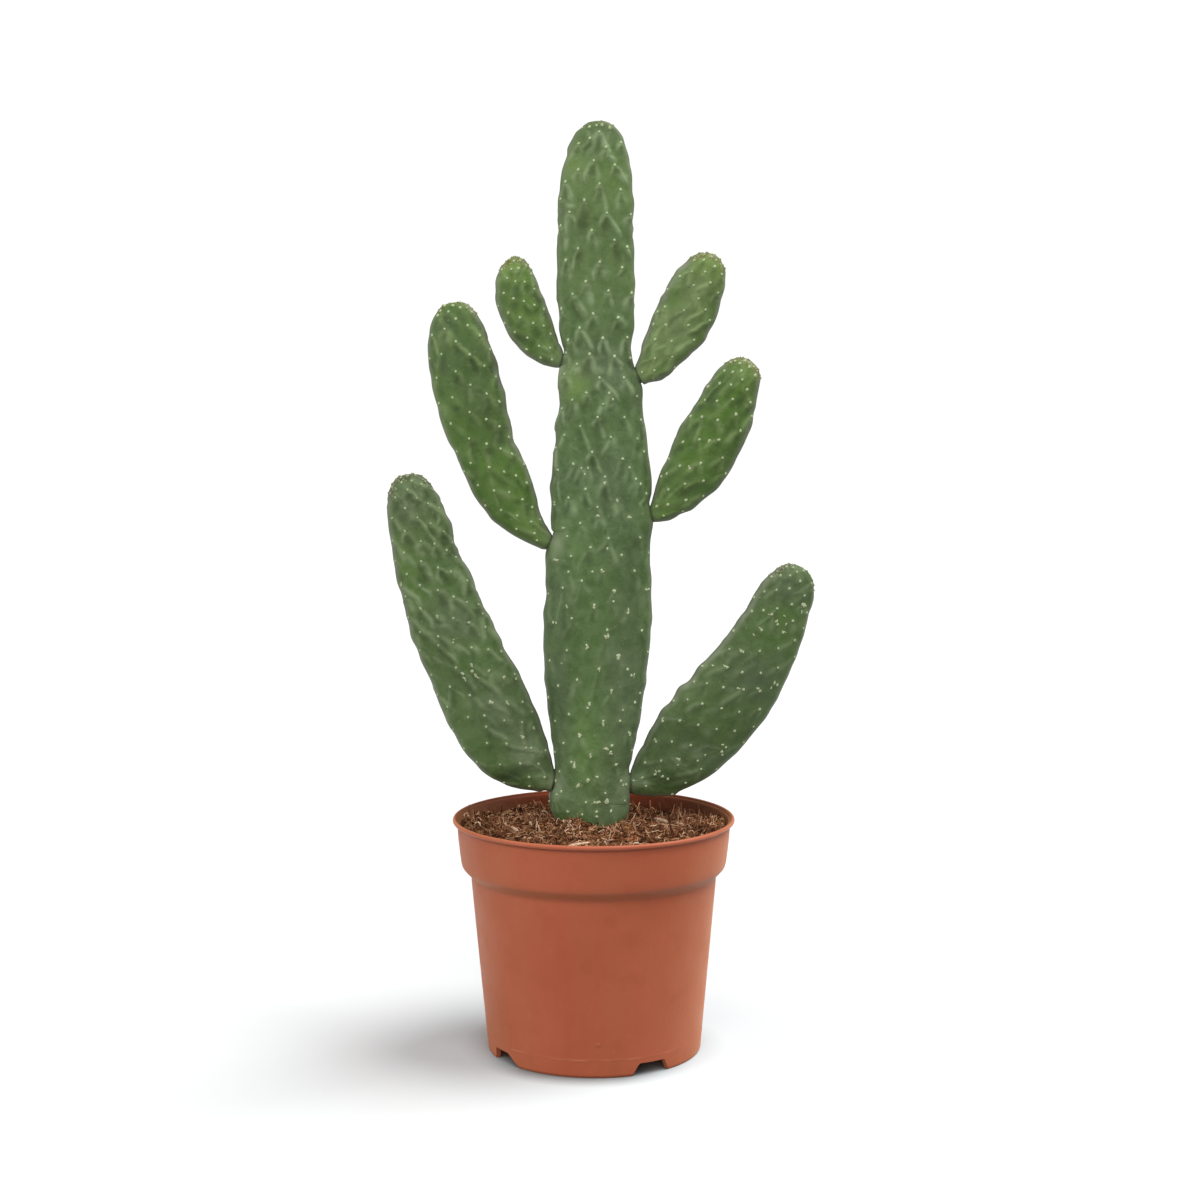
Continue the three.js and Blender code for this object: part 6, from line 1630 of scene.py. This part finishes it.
def build_fibres():
    rnd = np.random.default_rng(909)
    bag = Bag()
    count = 4300
    made = 0
    while made < count:
        r, a = 80.0 * math.sqrt(rnd.random()), rnd.uniform(0, 2 * math.pi)
        x, y = r * math.cos(a), r * math.sin(a)
        if in_stem(np.array([x]), np.array([y]), -0.5)[0]:
            continue
        big = rnd.random()
        length = rnd.uniform(2.0, 5.5) if big < 0.68 else rnd.uniform(5, 10) if big < 0.93 else rnd.uniform(10, 16)
        radius = rnd.uniform(0.13, 0.25) if rnd.random() < 0.6 else rnd.uniform(0.22, 0.46) * (1 if length < 9 else 0.75)
        if r > 70 and length > 9:
            length *= 0.6
        head = rnd.uniform(0, 2 * math.pi) if r < 66 else a + math.pi / 2 + rnd.normal(0, 0.8)
        path, rad = fibre(rnd, x, y, length, head, rnd.normal(0, 1.1), radius, abs(rnd.normal(0, 0.75)) + (rnd.uniform(1.2, 2.6) if rnd.random() < 0.07 else 0))
        if in_stem(path[:, 0], path[:, 1], 0.2).any() and rnd.random() < 0.9:
            continue
        if on_sliver(path[:, 0], path[:, 1]):
            continue
        V, q, t = tube_mesh(path, rad, 4)
        # fibres in the shaded places take painted shade
        dark = float(painted_soil_shade(np.array([x]), np.array([y]))[0])
        shade = rnd.beta(1.6, 1.9) + (0.3 if rnd.random() < 0.12 else 0)
        bag.add(V + np.array([AXIS_X, 0, 0]), tris=t, quads=q, shade=min(max(shade * (1 - 0.8 * dark), 0), 1))
        made += 1
    # a few long pale fibres that stand out at the front and left
    named = [(33, -27, 15, -0.9, 1.9, 0.34, 1.4, 0.93), (36, -33, 12, 0.6, -1.4, 0.26, 1.6, 0.85), (-34, -24, 10, 1.5, 0.3, 0.30, 3.0, 0.80), (-28, -27, 9, -0.9, 0.5, 0.28, 2.4, 0.72),
             (-14, -36, 12, 0.4, -0.8, 0.22, 1.0, 0.66), (12, -41, 15, 1.0, 1.6, 0.24, 1.4, 0.6), (55, 12, 9, 1.9, 0.4, 0.26, 3.4, 0.78), (66, 6, 8, 1.5, 0.2, 0.24, 3.2, 0.74),
             (48, 40, 12, 0.9, 0.6, 0.24, 3.8, 0.7), (-38, 30, 14, 0.5, 0.7, 0.24, 2.6, 0.62), (-22, 38, 10, 1.4, 0.2, 0.22, 2.8, 0.6), (27, -14, 10, 0.2, 1.2, 0.22, 1.2, 0.7),
             (-60, 8, 12, 2.4, 0.8, 0.22, 1.6, 0.66), (60, -22, 14, 0.4, -1.0, 0.24, 1.4, 0.62), (44, -38, 12, 2.6, 0.9, 0.22, 1.2, 0.66), (-48, -36, 14, 0.2, 1.1, 0.22, 1.2, 0.6)]
    for x, y, ln, head, curl, rad, lift, shade in named:
        path, rr = fibre(rnd, x, y, ln, head, curl, rad, lift, 12)
        V, q, t = tube_mesh(path, rr, 6)
        bag.add(V + np.array([AXIS_X, 0, 0]), tris=t, quads=q, shade=shade)
    ob = bag.build("soil_fibres", fibre_material())
    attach(ob, "root")


def build_crumbs():
    rnd = np.random.default_rng(515)
    bag = Bag()
    count = 4200
    made = 0
    while made < count:
        r, a = 79.8 * math.sqrt(rnd.random()), rnd.uniform(0, 2 * math.pi)
        x, y = r * math.cos(a), r * math.sin(a)
        if in_stem(np.array([x]), np.array([y]), 0.3)[0]:
            continue
        if on_sliver(np.array([x]), np.array([y])):
            continue
        size = min(rnd.gamma(2.0, 0.2) + 0.26, 1.9)
        if r + size > 80.4:
            continue
        V, F = blob(rnd, ICO2 if size > 0.8 else ICO1, (size * rnd.uniform(0.8, 1.5), size, size * rnd.uniform(0.55, 0.9)), 0.30)
        ca, sa = math.cos(rnd.uniform(0, 6.28)), math.sin(rnd.uniform(0, 6.28))
        n_ = math.hypot(ca, sa)
        ca, sa = ca / n_, sa / n_
        V = np.stack([V[:, 0] * ca - V[:, 1] * sa, V[:, 0] * sa + V[:, 1] * ca, V[:, 2]], -1)
        z = float(soil_rough(np.array([x]), np.array([y]))[0])
        # each crumb is darker at random, and darker still with painted shade where the ground is shaded
        bag.add(V + np.array([x + AXIS_X, y, z + size * 0.25]), tris=F, depth=max(rnd.uniform(0, 0.85) ** 1.4, 0.9 * float(painted_soil_shade(np.array([x]), np.array([y]))[0])), tint=rnd.random() ** 3.0)
        made += 1
    ob = bag.build("soil_crumbs", SOIL)
    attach(ob, "root")


SLIVERS = {"wood_sliver_right": (41.5, 3.5, -72, 22, 3.4, 1.6, 5), "wood_sliver_front": (-8, -58, 14, 13, 3.0, 1.5, -3),
           "wood_sliver_left": (-47, -18, 105, 15, 2.2, 1.3, 4), "bark_chip_left": (-55, 38, 35, 9.5, 5.6, 2.2, 3)}


def build_slivers():
    wood = wood_material("wood_fibre_finish", srgb(172, 124, 94), srgb(232, 190, 160), srgb(250, 226, 202), 500)
    bark = wood_material("bark_finish", srgb(70, 46, 30), srgb(140, 98, 64), srgb(196, 156, 112), 420)
    for k, (name, (x, y, deg, ln, w, t, tilt)) in enumerate(SLIVERS.items()):
        rnd = np.random.default_rng(640 + k)
        a = math.radians(deg)
        d, side = np.array([math.cos(a), math.sin(a), 0]), np.array([-math.sin(a), math.cos(a), 0])
        rise = math.tan(math.radians(tilt))
        us = np.linspace(-0.5, 0.5, 15)
        ground = np.max([soil_rough(x + d[0] * us * ln + side[0] * o * w, y + d[1] * us * ln + side[1] * o * w) for o in (-0.4, 0, 0.4)], axis=0)
        slope, z0 = np.polyfit(us * ln, ground, 1)
        slope, z0 = float(slope), float(z0 + 0.45 * np.std(ground - slope * us * ln - z0) + 0.30 * t)
        ns, nc = 34, 26
        s = np.linspace(-0.5, 0.5, ns)
        kw = np.interp(s, [-0.5, -0.44, -0.34, -0.1, 0.2, 0.4, 0.5], [0.16, 0.5, 0.82, 1, 0.86, 0.5, 0.10])
        kt = np.interp(s, [-0.5, -0.44, -0.3, -0.1, 0.2, 0.4, 0.5], [0.25, 0.6, 0.9, 1, 0.95, 0.7, 0.25])
        q = np.arange(nc) * 2 * math.pi / nc
        grain = 0.5 + 0.5 * np.sin(np.sign(np.sin(q)) * np.cos(q) * 13 + k) * 0.8 + rnd.normal(0, 0.12, nc)
        rows, g = [], []
        for i in range(ns):
            ragged = 1 + (0.22 * rnd.normal(0, 1, nc) if abs(s[i]) > 0.44 else 0.03 * rnd.normal(0, 1, nc))
            bow = 0.35 * math.sin(5 * s[i])
            cw = (w / 2 * kw[i]) * np.sign(np.cos(q)) * np.abs(np.cos(q)) ** 0.8 * ragged
            ct = (t / 2 * kt[i]) * np.sign(np.sin(q)) * np.abs(np.sin(q)) ** 0.55 * (1 + 0.16 * (grain - 0.5))
            c = np.array([x, y, z0]) + d * s[i] * ln + np.array([0, 0, (slope + rise) * s[i] * ln])
            rows.append(c + side * (cw + bow)[:, None] + np.array([0, 0, 1.0]) * ct[:, None])
            g.append(np.clip(grain + 0.12 * rnd.normal(0, 1, nc), 0, 1))
        V = np.vstack(rows + [rows[0].mean(0)[None], rows[-1].mean(0)[None]])
        gr = np.concatenate(g + [np.array([0.4, 0.4])])
        i, j = np.meshgrid(np.arange(ns - 1), np.arange(nc), indexing="ij")
        i, j = i.ravel(), j.ravel()
        j1 = (j + 1) % nc
        quads = np.stack([i * nc + j, i * nc + j1, (i + 1) * nc + j1, (i + 1) * nc + j], 1)
        jj = np.arange(nc)
        tris = np.vstack([np.stack([(jj + 1) % nc, jj, np.full(nc, ns * nc)], 1), np.stack([(ns - 1) * nc + jj, (ns - 1) * nc + (jj + 1) % nc, np.full(nc, ns * nc + 1)], 1)])
        V = V + np.array([AXIS_X, 0, 0])
        ob = make_mesh(name + "_grain", V, outward(V, [quads, tris]), bark if name.startswith("bark") else wood, True, dict(grain=gr), sharp=50)
        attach(ob, "root")
        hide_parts(name)


SOIL = soil_material()
build_soil()
build_fibres()
build_crumbs()
build_slivers()

# the roots stay as the frame has them, with their own finish
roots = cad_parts["root_system"]
if not roots.material_slots:
    roots.data.materials.append(root_material())
else:
    rm = root_material()
    for s in roots.material_slots:
        s.material = rm

# ------------------------------------------------------------------ floor, light, camera
scene = bpy.context.scene
me = bpy.data.meshes.new("studio_floor")
me.from_pydata([(-9, -9, 0), (9, -9, 0), (9, 9, 0), (-9, 9, 0)], [], [(0, 1, 2, 3)])
me.materials.append(floor_material())
floor = bpy.data.objects.new("studio_floor", me)
scene.collection.objects.link(floor)
floor.visible_diffuse = False

world = bpy.data.worlds.new("studio")
scene.world = world
world.use_nodes = True
wt = world.node_tree
wt.nodes.clear()
wo = wt.nodes.new("ShaderNodeOutputWorld")
lp = wt.nodes.new("ShaderNodeLightPath")
white, dim, mixs = wt.nodes.new("ShaderNodeBackground"), wt.nodes.new("ShaderNodeBackground"), wt.nodes.new("ShaderNodeMixShader")
white.inputs["Color"].default_value = (1, 1, 1, 1)
white.inputs["Strength"].default_value = 1.05
dim.inputs["Color"].default_value = (1, 1, 1, 1)
dim.inputs["Strength"].default_value = WORLD
wt.links.new(lp.outputs["Is Camera Ray"], mixs.inputs[0])
wt.links.new(dim.outputs[0], mixs.inputs[1])
wt.links.new(white.outputs[0], mixs.inputs[2])
wt.links.new(mixs.outputs[0], wo.inputs["Surface"])


def lamp(name, turn, height, power, width, color):
    """A far lamp with a wide disc, so it lights floor and object evenly with soft shadows."""
    L = bpy.data.lights.new(name, "SUN")
    L.energy = power
    L.angle = math.radians(width)
    L.color = color
    o = bpy.data.objects.new(name, L)
    t, h = math.radians(turn), math.radians(height)
    d = Vector((math.sin(t) * math.cos(h), -math.cos(t) * math.cos(h), math.sin(h)))
    o.location = d * 2.5
    o.rotation_euler = (-d).to_track_quat("-Z", "Y").to_euler()
    scene.collection.objects.link(o)
    return o


for spec in LIGHTS:
    lamp(*spec)

scene.view_settings.view_transform = "Standard"
scene.view_settings.look = "None"
scene.view_settings.exposure = 0.0
scene.view_settings.gamma = 1.0

cam = bpy.data.cameras.new("camera")
cam.lens = 58.6307
cam.sensor_width = 36.0
cam.sensor_fit = "HORIZONTAL"
cam.dof.use_dof = False
cam.clip_start, cam.clip_end = 0.01, 100
co = bpy.data.objects.new("camera", cam)
co.location = (-0.00161, -1.1744551, 0.3765668)
co.rotation_euler = (math.pi / 2 - 0.087, 0, 0)
scene.collection.objects.link(co)
scene.camera = co

# ------------------------------------------------------------------ update
bpy.context.view_layer.update()
